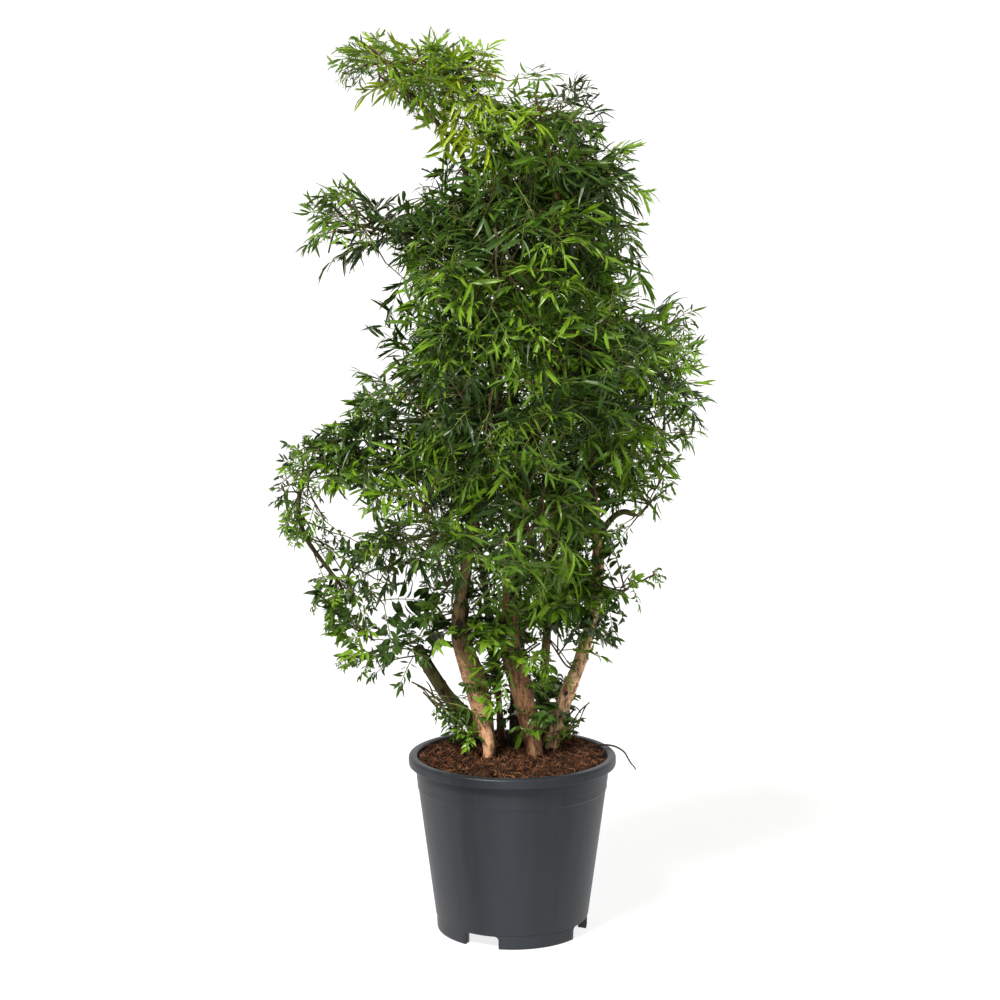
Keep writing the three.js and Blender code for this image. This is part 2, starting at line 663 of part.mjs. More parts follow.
// Foliage: one stemlet from the limb, twigs out of it, leaves out of the twigs
let seed = firstSeed;
const grown = [];
for (const [name, mass] of Object.entries(masses)) {
  seed += 1;
  const room = rooms[name];
  const limb = limbs[mass.bough === undefined ? mass.on : "bough_" + name];
  const last = limb.points.length - 1;
  let start;
  let stemletFoot;
  if (mass.at === undefined || mass.bough !== undefined) {
    const along = limb.points[last].clone().sub(limb.points[last - 1]).normalize();
    start = limb.points[last].clone().addScaledVector(along, clearance + 0.05);
    stemletFoot = Math.min(limb.radii[last] * 1.1, stemletRadius);
    room.lead = start.clone().addScaledVector(along, stemletLead * 0.8);
  } else {
    const base = limbAt(limb, mass.at);
    const out = room.middle.clone().sub(base.point);
    out.addScaledVector(base.along, -out.dot(base.along)).normalize();
    start = base.point.clone().addScaledVector(out, base.radius * 0.4);
    stemletFoot = stemletTip;
    room.lead = base.point.clone().addScaledVector(out, base.radius + stemletLead);
  }
  const heart = room.middle;
  const onward = heart.clone().sub(room.lead).normalize();
  const beyond = reachAlong(room, heart, onward, farthest) * stemletBeyond;
  const end = heart.clone().addScaledVector(onward, beyond);
  const stemlet = {
    a: room.lead,
    b: end,
    points: [start, room.lead, end],
    radii: [stemletFoot, stemletFoot, stemletTip],
  };
  const twigs = [stemlet];
  const { x, y, z } = room.reach;
  const span = (x * y + y * z + x * z) / 3;
  const share = Math.round((span * (mass.full ?? 1)) / leafArea);
  const wanted = Math.min(Math.max(share, fewestLeaves), mostLeaves);
  const twigCount = mass.core !== undefined ? coreTwigs : Math.max(3, Math.round(wanted / leavesPerTwig));
  const turn = chance(seed, 0) * Math.PI * 2;
  let count = 1;
  for (let i = 0; i < twigCount; i += 1) {
    const direction = ballDirection(i, twigCount, turn);
    const a = room.lead.clone().lerp(end, 0.15 + (0.8 * (i + 0.5)) / twigCount);
    const twigReach = reachAlong(room, heart, direction, farthest) * twigShare;
    const goal = heart.clone().addScaledVector(direction, twigReach);
    for (let attempt = 0; attempt < twigTries; attempt += 1) {
      const b = goal.clone();
      if (attempt > 0) {
        b.x += (chance(seed, count) - 0.5) * twigWander;
        b.y += (chance(seed, count + 1) - 0.5) * twigWander;
        b.z += (chance(seed, count + 2) - 0.5) * twigWander;
        count += 3;
      }
      const clear = holds(room, b) && holds(room, a) && clearOfLimbs(a, b, twigRadius);
      if (clear && a.distanceTo(b) > twigShortest) {
        twigs.push({ a, b, points: [a, b], radii: [twigRadius, twigTip] });
        break;
      }
    }
  }
  const leaves = [];
  const longest = Math.min(leafLongest, Math.sqrt(span) * leafShare);
  for (let i = 0; i < wanted; i += 1) {
    let best = null;
    for (let attempt = 0; attempt < leafTries; attempt += 1) {
      const draw = [0, 1, 2, 3, 4, 5].map((k) => chance(seed, count + k));
      count += 6;
      const fromCore = mass.core !== undefined && (i + attempt) % 3 > 0;
      const twig = fromCore ? coreTwig(draw) : twigs[(i + Math.floor(attempt / 3)) % twigs.length];
      const leaf = growLeaf(twig, draw);
      const free = leaf !== null
        && twigs.every((other) => other === twig || !cutsBlade(other.a, other.b, leaf))
        && leaves.every((other) => !bladesCross(other, leaf));
      if (free) {
        const centre = leaf.root.clone().lerp(leaf.tip, 0.5);
        const outward = centre.clone().sub(heart).divide(room.reach).length();
        const apart = grown.map((other) => other.distanceTo(centre));
        const near = Math.min(1, Math.min(...apart, 1e6) / leafSpread);
        leaf.centre = centre;
        leaf.score = leaf.length / leafLongest + near + outward;
        if (best === null || leaf.score > best.score) {
          best = leaf;
        }
      }
    }
    if (best !== null) {
      leaves.push(best);
      grown.push(best.centre);
    }
  }
  // A stand-in twig from the middle to the face of the core
  function coreTwig(draw) {
    const direction = ballDirection(Math.floor(draw[0] * 997), 997, draw[1] * 6);
    const depth = mass.core * coreRootDepth;
    const b = heart.clone().addScaledVector(direction.clone().multiply(room.reach), depth);
    return { a: b.clone().addScaledVector(direction, -1), b };
  }
  function growLeaf(twig, draw) {
    const share = leafFirst + (1 - leafFirst) * draw[0];
    const spot = twig.a.clone().lerp(twig.b, Math.min(share, 0.97));
    const axis = twig.b.clone().sub(twig.a).normalize();
    const level = new THREE.Vector3().crossVectors(axis, new THREE.Vector3(0.31, 0.17, 0.93)).normalize();
    const rise = new THREE.Vector3().crossVectors(level, axis);
    const around = draw[1] * Math.PI * 2;
    const bend = leafBendLeast + (leafBendMost - leafBendLeast) * draw[2];
    const along = axis.multiplyScalar(Math.cos(bend));
    along.addScaledVector(level, Math.sin(bend) * Math.cos(around));
    along.addScaledVector(rise, Math.sin(bend) * Math.sin(around));
    along.z -= leafDroop * draw[3];
    along.normalize();
    const most = Math.min(longest * (0.8 + 0.2 * draw[4]), reachAlong(room, spot, along, farthest) * 0.99);
    const flat = new THREE.Vector3().crossVectors(along, up).normalize();
    const lift = new THREE.Vector3().crossVectors(flat, along);
    const roll = draw[5] * Math.PI;
    const side = flat.multiplyScalar(Math.cos(roll)).addScaledVector(lift, Math.sin(roll));
    const face = new THREE.Vector3().crossVectors(along, side);
    for (const trim of leafTrims) {
      const length = most * trim;
      const leaf = { twig, side, face, length, width: Math.max(length, longest * 0.7) * leafWidth };
      leaf.root = spot.clone().addScaledVector(along, -leafSink);
      leaf.tip = spot.clone().addScaledVector(along, length);
      const wide = leaf.root.clone().lerp(leaf.tip, leafWidest);
      leaf.left = wide.clone().addScaledVector(side, leaf.width * 0.5);
      leaf.right = wide.clone().addScaledVector(side, -leaf.width * 0.5);
      const thick = leafThickness * 0.5;
      const corners = [leaf.root, leaf.tip, leaf.left, leaf.right];
      corners.push(wide.clone().addScaledVector(face, thick));
      corners.push(wide.clone().addScaledVector(face, -thick));
      const edges = [...rimOf(leaf), [leaf.root, leaf.tip], [leaf.left, leaf.right]];
      const fits = length > leafShortest
        && corners.every((corner) => holds(room, corner))
        && edges.every(([a, b]) => clearOfLimbs(a, b, thick))
        && pieces.every((piece) => !cutsBlade(piece.a, piece.b, leaf));
      if (fits) {
        return leaf;
      }
    }
    return null;
  }
  const solids = twigs.map(twigSolid);
  if (mass.core !== undefined) {
    const core = new THREE.IcosahedronGeometry(1, 0);
    core.scale(room.reach.x * mass.core, room.reach.y * mass.core, room.reach.z * mass.core);
    core.translate(heart.x, heart.y, heart.z);
    solids.push(solidOf(core));
  }
  for (const leaf of leaves) {
    solids.push(leafSolid(leaf));
  }
  const green = name.startsWith("tuft") ? 0x7fa02c : 0x3f7a26;
  let spray = wasm.Manifold.union(solids);
  if (mass.at !== undefined && mass.bough === undefined) {
    spray = spray.subtract(limb.fence());
  }
  add("foliage_" + name, biggest(spray.simplify(smallestEdge)), green, 0.55);
}

// The middle of the underside box becomes the origin
const box = new THREE.Box3().setFromObject(root);
root.position.set(-(box.min.x + box.max.x) / 2, -(box.min.y + box.max.y) / 2, -box.min.z);

export default root;
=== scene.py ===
import bpy
import numpy as np
from collections import namedtuple
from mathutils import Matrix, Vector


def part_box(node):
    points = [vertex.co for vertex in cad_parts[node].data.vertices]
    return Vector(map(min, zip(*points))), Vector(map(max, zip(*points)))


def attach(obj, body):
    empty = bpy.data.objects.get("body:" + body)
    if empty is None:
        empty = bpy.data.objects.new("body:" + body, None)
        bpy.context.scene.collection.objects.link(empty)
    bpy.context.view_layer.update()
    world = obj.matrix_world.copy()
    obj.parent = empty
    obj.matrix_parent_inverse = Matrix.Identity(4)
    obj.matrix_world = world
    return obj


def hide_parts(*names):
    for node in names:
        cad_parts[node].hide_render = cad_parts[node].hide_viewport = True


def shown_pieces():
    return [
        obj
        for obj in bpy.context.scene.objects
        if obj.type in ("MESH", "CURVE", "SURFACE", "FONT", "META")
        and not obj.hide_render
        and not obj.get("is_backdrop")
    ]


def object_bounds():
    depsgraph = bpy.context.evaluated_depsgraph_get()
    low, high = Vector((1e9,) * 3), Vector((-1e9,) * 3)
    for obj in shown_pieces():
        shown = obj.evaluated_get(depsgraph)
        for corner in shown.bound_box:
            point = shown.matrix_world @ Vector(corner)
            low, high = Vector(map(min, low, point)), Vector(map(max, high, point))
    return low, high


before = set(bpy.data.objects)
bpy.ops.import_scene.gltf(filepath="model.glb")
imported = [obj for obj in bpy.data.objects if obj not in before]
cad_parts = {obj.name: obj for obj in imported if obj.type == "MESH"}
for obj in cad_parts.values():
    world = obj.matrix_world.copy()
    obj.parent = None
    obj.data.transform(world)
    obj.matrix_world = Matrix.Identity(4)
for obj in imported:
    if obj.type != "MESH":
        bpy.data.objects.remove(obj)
cadLow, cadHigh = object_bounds()

# Shapes are worked out in millimetres round the pot's axis, and placed in metres at the end
potLow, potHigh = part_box("pot")
potAxis = np.array([(potLow.x + potHigh.x) / 2, (potLow.y + potHigh.y) / 2, 0.0])
mm = 0.001
up = np.array([0.0, 0.0, 1.0])
askew = np.array([0.31, 0.17, 0.93])  # crossed with a twig's heading to get a way square to it
goldenAngle = np.pi * (3 - np.sqrt(5))

# Camera, light and floor

view = {
    "sideways": -0.0202,  # metres from the pot's axis
    "distance": 3.0,
    "height": 1.0491,
    "pitch": 6.49,  # degrees down
    "lens": 67.22,
}


def makeCamera(v):
    # stands before the pot, looks along +Y and down by the pitch
    data = bpy.data.cameras.new("camera")
    data.lens = v["lens"]
    data.sensor_width = 36
    camera = bpy.data.objects.new("camera", data)
    camera.location = (potAxis[0] + v["sideways"], potAxis[1] - v["distance"], v["height"])
    camera.rotation_euler = (np.radians(90 - v["pitch"]), 0, 0)
    bpy.context.scene.collection.objects.link(camera)
    bpy.context.scene.camera = camera


studio = {
    "sky": 0.12,
    "lamps": [  # where the light comes from, how wide it looks in degrees, strength
        ((-1.1, -1.6, 2.3), 16, 4.6),
        ((1.6, -1.5, 1.5), 40, 0.9),
        ((0.5, 2.4, 2.6), 50, 0.9),
    ],
    "lampColour": (1.0, 0.97, 0.90),
    "paperWidth": 26.0,
    "paper": [  # y and z along the roll
        (-13, 0), (4.5, 0), (5.8, 0.15), (7.0, 0.6), (7.9, 1.4), (8.4, 2.6), (8.5, 4.0), (8.5, 9.0),
    ],
    "paperColour": (0.2, 0.2, 0.2, 1),
    "paperGlow": 0.82,
}


def aim(place):
    # turns a lamp's -Z axis from its place to the origin
    way = -np.array(place, float)
    flat = np.hypot(way[0], way[1])
    return (np.arctan2(flat, -way[2]), 0, np.arctan2(way[0], -way[1]) + np.pi)


def makeStudio(s):
    # wide soft lamps and a roll of white paper that runs out under the pot and up behind it
    world = bpy.data.worlds.new("studio")
    world.use_nodes = True
    background = world.node_tree.nodes["Background"]
    background.inputs["Color"].default_value = (1, 1, 1, 1)
    background.inputs["Strength"].default_value = s["sky"]
    bpy.context.scene.world = world
    for i, (place, wide, strength) in enumerate(s["lamps"]):
        data = bpy.data.lights.new(f"softLamp{i}", "SUN")
        data.angle = np.radians(wide)
        data.energy = strength
        data.color = s["lampColour"]
        lamp = bpy.data.objects.new(f"softLamp{i}", data)
        lamp.location = place
        lamp.rotation_euler = aim(place)
        bpy.context.scene.collection.objects.link(lamp)
    half = s["paperWidth"] / 2
    corners = [(x, y, z) for y, z in s["paper"] for x in (-half, half)]
    faces = [(2 * i, 2 * i + 1, 2 * i + 3, 2 * i + 2) for i in range(len(s["paper"]) - 1)]
    mesh = bpy.data.meshes.new("floor")
    mesh.from_pydata(corners, [], faces)
    mesh.polygons.foreach_set("use_smooth", np.ones(len(faces), bool))
    floor = bpy.data.objects.new("floor", mesh)
    bpy.context.scene.collection.objects.link(floor)
    return floor


makeCamera(view)
floor = makeStudio(studio)
bpy.context.scene.view_settings.view_transform = "Standard"
print("camera, lamps and floor stand")

# Materials


class Wire:
    # one output socket of a shader tree; sums and products of wires add Math nodes
    def __init__(self, tree, socket=None):
        self.tree = tree
        self.socket = socket

    def make(self, kind, settings=None, inputs=None, out=0):
        node = self.tree.nodes.new(kind)
        for key, value in (settings or {}).items():
            if key == "stops":
                ramp = node.color_ramp
                while len(ramp.elements) < len(value):
                    ramp.elements.new(0.5)
                for element, (position, colour) in zip(ramp.elements, value):
                    element.position = position
                    element.color = (*colour, 1)
            else:
                setattr(node, key, value)
        for key, value in (inputs or {}).items():
            if isinstance(value, Wire):
                self.tree.links.new(value.socket, node.inputs[key])
            else:
                node.inputs[key].default_value = value
        return Wire(self.tree, node.outputs[out])

    def maths(self, operation, a, b):
        return self.make("ShaderNodeMath", {"operation": operation}, {0: a, 1: b})

    def __add__(self, other):
        return self.maths("ADD", self, other)

    def __mul__(self, other):
        return self.maths("MULTIPLY", self, other)

    def __radd__(self, other):
        return self.maths("ADD", other, self)

    def between(self, low, high):
        # 0 under low, 1 over high
        return self.make("ShaderNodeMapRange", {"interpolation_type": "SMOOTHSTEP"},
                         {0: self, 1: low, 2: high, 3: 0.0, 4: 1.0})

    def blend(self, colourA, colourB):
        # colour A where this is 0, colour B where it is 1
        fixed = [c if isinstance(c, Wire) else (*c, 1) for c in (colourA, colourB)]
        return self.make("ShaderNodeMix", {"data_type": "RGBA"}, {0: self, 6: fixed[0], 7: fixed[1]}, out=2)

    def noise(self, scale, detail=3.0, rough=0.5, stretch=(1, 1, 1)):
        # fractal noise on the object's own coordinates, stretched
        spot = self.make("ShaderNodeTexCoord", out=3)
        spread = self.make("ShaderNodeMapping", None, {"Vector": spot, "Scale": stretch})
        return self.make("ShaderNodeTexNoise", None,
                         {"Vector": spread, "Scale": scale, "Detail": detail, "Roughness": rough})


def newMaterial(name, plain):
    # a material with plain values on its shader, a wire on its tree, and that shader
    material = bpy.data.materials.new(name)
    material.use_nodes = True
    tree = material.node_tree
    shader = tree.nodes["Principled BSDF"]
    for key, value in plain.items():
        shader.inputs[key].default_value = value
    return material, Wire(tree), shader


def feed(shader, wires):
    # joins each wire to the shader's input of that name
    for key, wire in wires.items():
        wire.tree.links.new(wire.socket, shader.inputs[key])


def bumped(wire, height, strength, distance):
    # the surface's direction, tilted by the slope of height
    return wire.make("ShaderNodeBump", None, {"Height": height, "Strength": strength, "Distance": distance})


def makePaper(s):
    # dull grey with a white glow of its own: near white, with faint shadows
    return newMaterial("whitePaper", {
        "Base Color": s["paperColour"], "Roughness": 0.9,
        "Emission Color": (1, 1, 1, 1), "Emission Strength": s["paperGlow"],
    })[0]


floor.data.materials.append(makePaper(studio))
floor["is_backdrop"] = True

# the light colour shows mostly in broad bands of painted sheen; the streaks, cloud and grain are the
# plastic's own
plastic = {
    "dark": (0.0080, 0.0100, 0.0140), "light": (0.0310, 0.0355, 0.0430), "roughness": 0.38,
    "grain": 1400.0, "sheenBands": 5.2, "streaks": 55.0, "shine": 0.22,
}


def makePlastic(p):
    # slate plastic: broad pale upright bands of painted sheen, fine streaks down the wall as it flowed into
    # the mould, and a grain
    material, wire, shader = newMaterial("potPlastic", {"Specular IOR Level": p["shine"]})
    cloud = wire.noise(9.0, 4.0)
    # broad upright bands of painted sheen, standing in for the lamps' reflections on the wall
    sheenBands = wire.noise(p["sheenBands"], 1.0, 0.4, (1, 1, 0.03))
    streak = wire.noise(p["streaks"], 3.0, 0.6, (1, 1, 0.04))
    grain = wire.noise(p["grain"], 2.0)
    dust = wire.noise(34.0, 5.0, 0.7).between(0.55, 0.8)
    # the tone is mostly painted sheen from the bands, with a little real streak and cloud
    tone = (sheenBands * 0.8 + streak * 0.12 + cloud * 0.08).between(0.36, 0.64)
    colour = (dust * 0.05).blend(tone.blend(p["dark"], p["light"]), (0.10, 0.10, 0.10))
    feed(shader, {
        "Base Color": colour,
        "Roughness": p["roughness"] + cloud * 0.08 + dust * 0.08,
        "Normal": bumped(wire, grain * 0.5 + streak * 0.5, 0.12, 0.0004),
    })
    return material


def makeSoilMaterial(name, dark, light, grain):
    # damp fibre mix: two browns by fine noise, matt
    material, wire, shader = newMaterial(name, {"Specular IOR Level": 0.25})
    fine = wire.noise(grain, 6.0, 0.7)
    broad = wire.noise(38.0, 3.0)
    tone = (fine * 0.7 + broad * 0.3).between(0.38, 0.64)
    feed(shader, {
        "Base Color": tone.blend(dark, light),
        "Roughness": 0.82 + fine * 0.15,
        "Normal": bumped(wire, fine, 0.6, 0.002),
    })
    return material


barks = {
    # low colour, high colour, crevice colour, height in metres where low turns to high, moss share; where the
    # high colour is darker it is painted shade of the crown
    "lightBark": ((0.84, 0.53, 0.32), (0.26, 0.15, 0.08), (0.15, 0.070, 0.034), (0.60, 0.72), 0.1),
    "tanBark": ((0.74, 0.42, 0.24), (0.36, 0.20, 0.11), (0.15, 0.062, 0.028), (0.36, 0.47), 0.1),
    "roseBark": ((0.31, 0.155, 0.078), (0.20, 0.105, 0.055), (0.07, 0.030, 0.017), (0.50, 0.66), 0.15),
    "brownBark": ((0.26, 0.155, 0.07), (0.15, 0.095, 0.045), (0.05, 0.026, 0.014), (0.44, 0.62), 0.6),
    "mossBark": ((0.10, 0.055, 0.03), (0.12, 0.085, 0.035), (0.03, 0.018, 0.01), (0.30, 0.40), 0.9),
    # near black below about 0.4 m: painted shade of the cavity behind the other stems
    "cavityShadeBark": ((0.035, 0.021, 0.013), (0.10, 0.060, 0.03), (0.015, 0.009, 0.006), (0.34, 0.46), 0.3),
    "twigBark": ((0.085, 0.068, 0.026), (0.27, 0.135, 0.055), (0.03, 0.025, 0.01), (1.13, 1.27), 0.3),
}


def makeBark(name, low, high, crevice, turn, moss):
    # long cracks and short cross marks over a colour that changes with height, where it darkens upward as
    # painted shade of the crown, with moss in patches
    material, wire, shader = newMaterial(name, {"Specular IOR Level": 0.3})
    cracks = wire.noise(170.0, 6.0, 0.72, (1, 1, 0.28))
    marks = wire.noise(125.0, 5.0, 0.7, (1, 1, 1.8))
    patches = wire.noise(34.0, 5.0, 0.65)
    spot = wire.make("ShaderNodeTexCoord", out=3)
    height = wire.make("ShaderNodeSeparateXYZ", None, {0: spot}, out=2)
    # painted shade: on the pale and brown stems the colour darkens above the turn, under the crown
    wood = height.between(*turn).blend(low, high)
    wood = (patches.between(0.40, 0.64) * 0.8).blend(wood, [0.62 * c for c in low])
    wood = (marks.between(0.54, 0.64) * 0.9).blend(wood, [1.35 * c for c in low])
    wood = (cracks.between(0.53, 0.40) * 0.9).blend(wood, crevice)
    wood = (marks.between(0.41, 0.33) * 0.7).blend(wood, crevice)
    green = patches.between(0.6, 0.42) * cracks.between(0.35, 0.6) * moss
    feed(shader, {
        "Base Color": (green * 0.7).blend(wood, (0.10, 0.12, 0.025)),
        "Roughness": 0.72 + cracks * 0.2,
        "Normal": bumped(wire, cracks * 0.7 + marks * 0.3, 0.7, 0.0015),
    })
    return material


greens = {
    "deepLeaf": (0.021, 0.050, 0.006),
    "darkLeaf": (0.040, 0.092, 0.008),
    "midLeaf": (0.080, 0.164, 0.010),
    "freshLeaf": (0.142, 0.268, 0.012),
    "youngLeaf": (0.225, 0.360, 0.014),
    "paleLeaf": (0.320, 0.430, 0.020),
}


def makeLeafMaterial(name, colour):
    # one plain green; only the gloss changes a little from place to place
    material, wire, shader = newMaterial(name, {"Base Color": (*colour, 1), "Specular IOR Level": 0.34})
    feed(shader, {"Roughness": 0.24 + wire.noise(70.0, 2.0) * 0.22})
    return material


def makeStalkMaterial(name, colour, other):
    # one colour that turns to the other in soft patches
    material, wire, shader = newMaterial(name, {"Specular IOR Level": 0.4})
    patch = wire.noise(30.0, 2.0).between(0.4, 0.6)
    feed(shader, {"Base Color": patch.blend(colour, other), "Roughness": 0.45 + patch * 0.1})
    return material


potMaterial = makePlastic(plastic)
barkMaterials = {name: makeBark(name, *values) for name, values in barks.items()}
leafMaterials = {name: makeLeafMaterial(name, colour) for name, colour in greens.items()}
stalkMaterials = {
    "greenStalk": makeStalkMaterial("greenStalk", (0.13, 0.20, 0.03), (0.22, 0.25, 0.045)),
    "brownStalk": makeStalkMaterial("brownStalk", (0.14, 0.085, 0.035), (0.13, 0.13, 0.032)),
}
print("materials mixed:", len(bpy.data.materials))

# Meshes from arrays


def unit(v):
    # v / |v|
    return v / np.maximum(np.linalg.norm(v, axis=-1, keepdims=True), 1e-9)


def roundAngles(count):
    # angles evenly round a turn: 2 * pi * i / count
    return np.arange(count) * 2 * np.pi / count


def polar(radius, angle):
    # radius * (cos, sin)
    return np.stack([radius * np.cos(angle), radius * np.sin(angle)], -1)


def fan(hub, ring, flip=False):
    # triangles from one corner to each two neighbours on a ring
    onward = np.roll(ring, -1)
    return np.stack([np.full(len(ring), hub), *((onward, ring) if flip else (ring, onward))], -1)


def buildPiece(name, points, faceSets, materials, smooth=True, which=None):
    # points in millimetres round the pot's axis; faceSets holds index arrays, each with one face size
    points = np.asarray(points, float).reshape(-1, 3) * mm + potAxis
    faceSets = [np.asarray(f, np.int64) for f in faceSets if len(f)]
    corners = np.concatenate([f.ravel() for f in faceSets])
    sizes = np.concatenate([np.full(len(f), f.shape[1]) for f in faceSets])
    starts = np.concatenate([[0], np.cumsum(sizes)[:-1]])
    mesh = bpy.data.meshes.new(name)
    mesh.vertices.add(len(points))
    mesh.vertices.foreach_set("co", points.astype(np.float32).ravel())
    mesh.loops.add(len(corners))
    mesh.loops.foreach_set("vertex_index", corners.astype(np.int32))
    mesh.polygons.add(len(sizes))
    mesh.polygons.foreach_set("loop_start", starts.astype(np.int32))
    mesh.polygons.foreach_set("use_smooth", np.full(len(sizes), smooth))
    for material in materials:
        mesh.materials.append(material)
    if which is not None:
        mesh.polygons.foreach_set("material_index", np.asarray(which, np.int32))
    mesh.update(calc_edges=True)
    mesh.validate()
    piece = bpy.data.objects.new(name, mesh)
    bpy.context.scene.collection.objects.link(piece)
    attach(piece, "root")
    return piece


def gridFaces(rows, columns, closed=True):
    # quads between neighbouring rows; with closed, the last column joins the first
    i, j = np.meshgrid(np.arange(rows - 1), np.arange(columns if closed else columns - 1), indexing="ij")
    k = (j + 1) % columns
    here, onward = i * columns, (i + 1) * columns
    return np.stack([here + j, here + k, onward + k, onward + j], -1).reshape(-1, 4)


def ringFrames(paths):
    # tangent by differences, then two directions square to it
    ahead = np.concatenate([paths[:, 1:], paths[:, -1:]], 1)
    behind = np.concatenate([paths[:, :1], paths[:, :-1]], 1)
    along = unit(ahead - behind)
    whole = unit(paths[:, -1] - paths[:, 0])
    reference = np.where(np.abs(whole[:, :1]) > 0.75, np.array([0.0, 1.0, 0.0]), np.array([1.0, 0.0, 0.0]))
    side = unit(reference[:, None] - along * np.sum(along * reference[:, None], -1, keepdims=True))
    return along, side, np.cross(along, side)


def tubes(paths, radii, sides):
    # every path gets a ring of corners at each of its points: centre + radius * (cos, sin) across the path
    paths = np.asarray(paths, float)
    radii = np.asarray(radii, float)
    count, steps = paths.shape[:2]
    _, side, across = ringFrames(paths)
    angle = roundAngles(sides)
    ring = side[:, :, None] * np.cos(angle)[:, None] + across[:, :, None] * np.sin(angle)[:, None]
    points = paths[:, :, None] + ring * radii[:, :, None, None]
    first = (np.arange(count) * steps * sides)[:, None, None]
    walls = (gridFaces(steps, sides)[None] + first).reshape(-1, 4)
    foot = np.arange(sides)[::-1][None] + first[:, :, 0]
    tip = np.arange(sides)[None] + (steps - 1) * sides + first[:, :, 0]
    return points.reshape(-1, 3), [walls, np.concatenate([foot, tip])]


def join(parts):
    # stacks (points, faceSets) parts into one, shifting each part's indices
    points, sets, shift = [], {}, 0
    for partPoints, faceSets in parts:
        points.append(partPoints)
        for faces in faceSets:
            if len(faces):
                sets.setdefault(faces.shape[1], []).append(faces + shift)
        shift += len(partPoints)
    return np.concatenate(points), [np.concatenate(s) for s in sets.values()]


def roundedOutline(corners, steps=4):
    # each corner (radius, height, rounding) becomes a curve between points that far along its two edges:
    # (1 - t)^2 * start + 2 * t * (1 - t) * corner + t^2 * end
    spots = np.array([c[:2] for c in corners], float)
    out = [spots[0]]
    roundings = [c[2] for c in corners[1:-1]]
    for before, corner, after, rounding in zip(spots[:-2], spots[1:-1], spots[2:], roundings):
        if rounding == 0:
            out.append(corner)
            continue
        back, ahead = before - corner, after - corner
        start = corner + back * min(0.5, rounding / np.linalg.norm(back))
        end = corner + ahead * min(0.5, rounding / np.linalg.norm(ahead))
        for t in np.linspace(0, 1, steps + 1):
            out.append((1 - t) ** 2 * start + 2 * t * (1 - t) * corner + t ** 2 * end)
    out.append(spots[-1])
    return np.array(out)


# Pot

pot = {
    "rimRadius": 170, "height": 290, "lipHeight": 16, "lipThickness": 3, "wallThickness": 3,
    "lipRounding": 3, "wallTopRadius": 159, "bandRadius": 155.5, "bandBottom": 235, "bandStep": 1.4,
    "lineHeight": 249, "lineStep": 0.6, "wallFootRadius": 126, "footHeight": 22, "footRadius": 124.6,
    "footInset": 15, "footTaper": 0.6, "floorTop": 25,
    "notches": 4, "notchFirst": -114, "notchHalfWidth": 29, "notchRoof": 20.5, "notchRounding": 6,
    "columns": 144, "footColumns": 26,
}


def potBody(p):
    # (r cos a, r sin a, z) of an outline that runs from the underside's middle over the lip to the floor
    rim, top, soft = p["rimRadius"], p["height"], p["lipRounding"]
    lip, lipFoot, under = rim - p["lipThickness"], top - p["lipHeight"], top - p["lipThickness"] - 1
    wallTop, wallFoot = p["wallTopRadius"], p["wallFootRadius"]
    inner, innerFoot = wallTop - p["wallThickness"], wallFoot - p["wallThickness"]
    band, bandFoot, line, rib = p["bandRadius"], p["bandBottom"], p["lineHeight"], p["lineStep"]
    foot, footTop, roof, floorTop = p["footRadius"], p["footHeight"], p["notchRoof"], p["floorTop"]
    ledge = foot - p["footInset"]
    corners = [
        # radius, height, rounding
        (0, footTop, 0), (ledge, footTop, 0), (ledge, roof, 0), (foot - 0.1, roof, 0.4), (foot, footTop, 0.5),
        (wallFoot, footTop + 1.5, 1), (band - p["bandStep"], bandFoot, 1), (band, bandFoot + 1.5, 1),
        (band + rib, line, 0.3), (band + 2 * rib, line + rib, 0.3), (wallTop, under, 1.5), (lip, under, 1),
        (lip, lipFoot, 0.4), (rim - 0.6, lipFoot, 1.2), (rim, lipFoot + soft, 1.5), (rim, top - soft, 2),
        (rim - soft, top, 2), (inner + 2, top, 2), (inner, top - soft, 2), (innerFoot, floorTop + 2, 2),
        (innerFoot - 3, floorTop, 1), (0, floorTop, 0),
    ]
    outline = roundedOutline(corners)
    ring = polar(1.0, roundAngles(p["columns"]))
    body = outline[1:-1]
    points = np.concatenate([body[:, None, :1] * ring[None], np.repeat(body[:, None, 1:], len(ring), 1)], -1)
    points = points.reshape(-1, 3)
    last = len(points) - len(ring)
    step = np.arange(len(ring))
    caps = np.concatenate([fan(len(points), step, True), fan(len(points) + 1, last + step)])
    points = np.concatenate([points, [[0, 0, footTop], [0, 0, floorTop]]])
    return points, [gridFaces(len(body), len(ring)), caps]


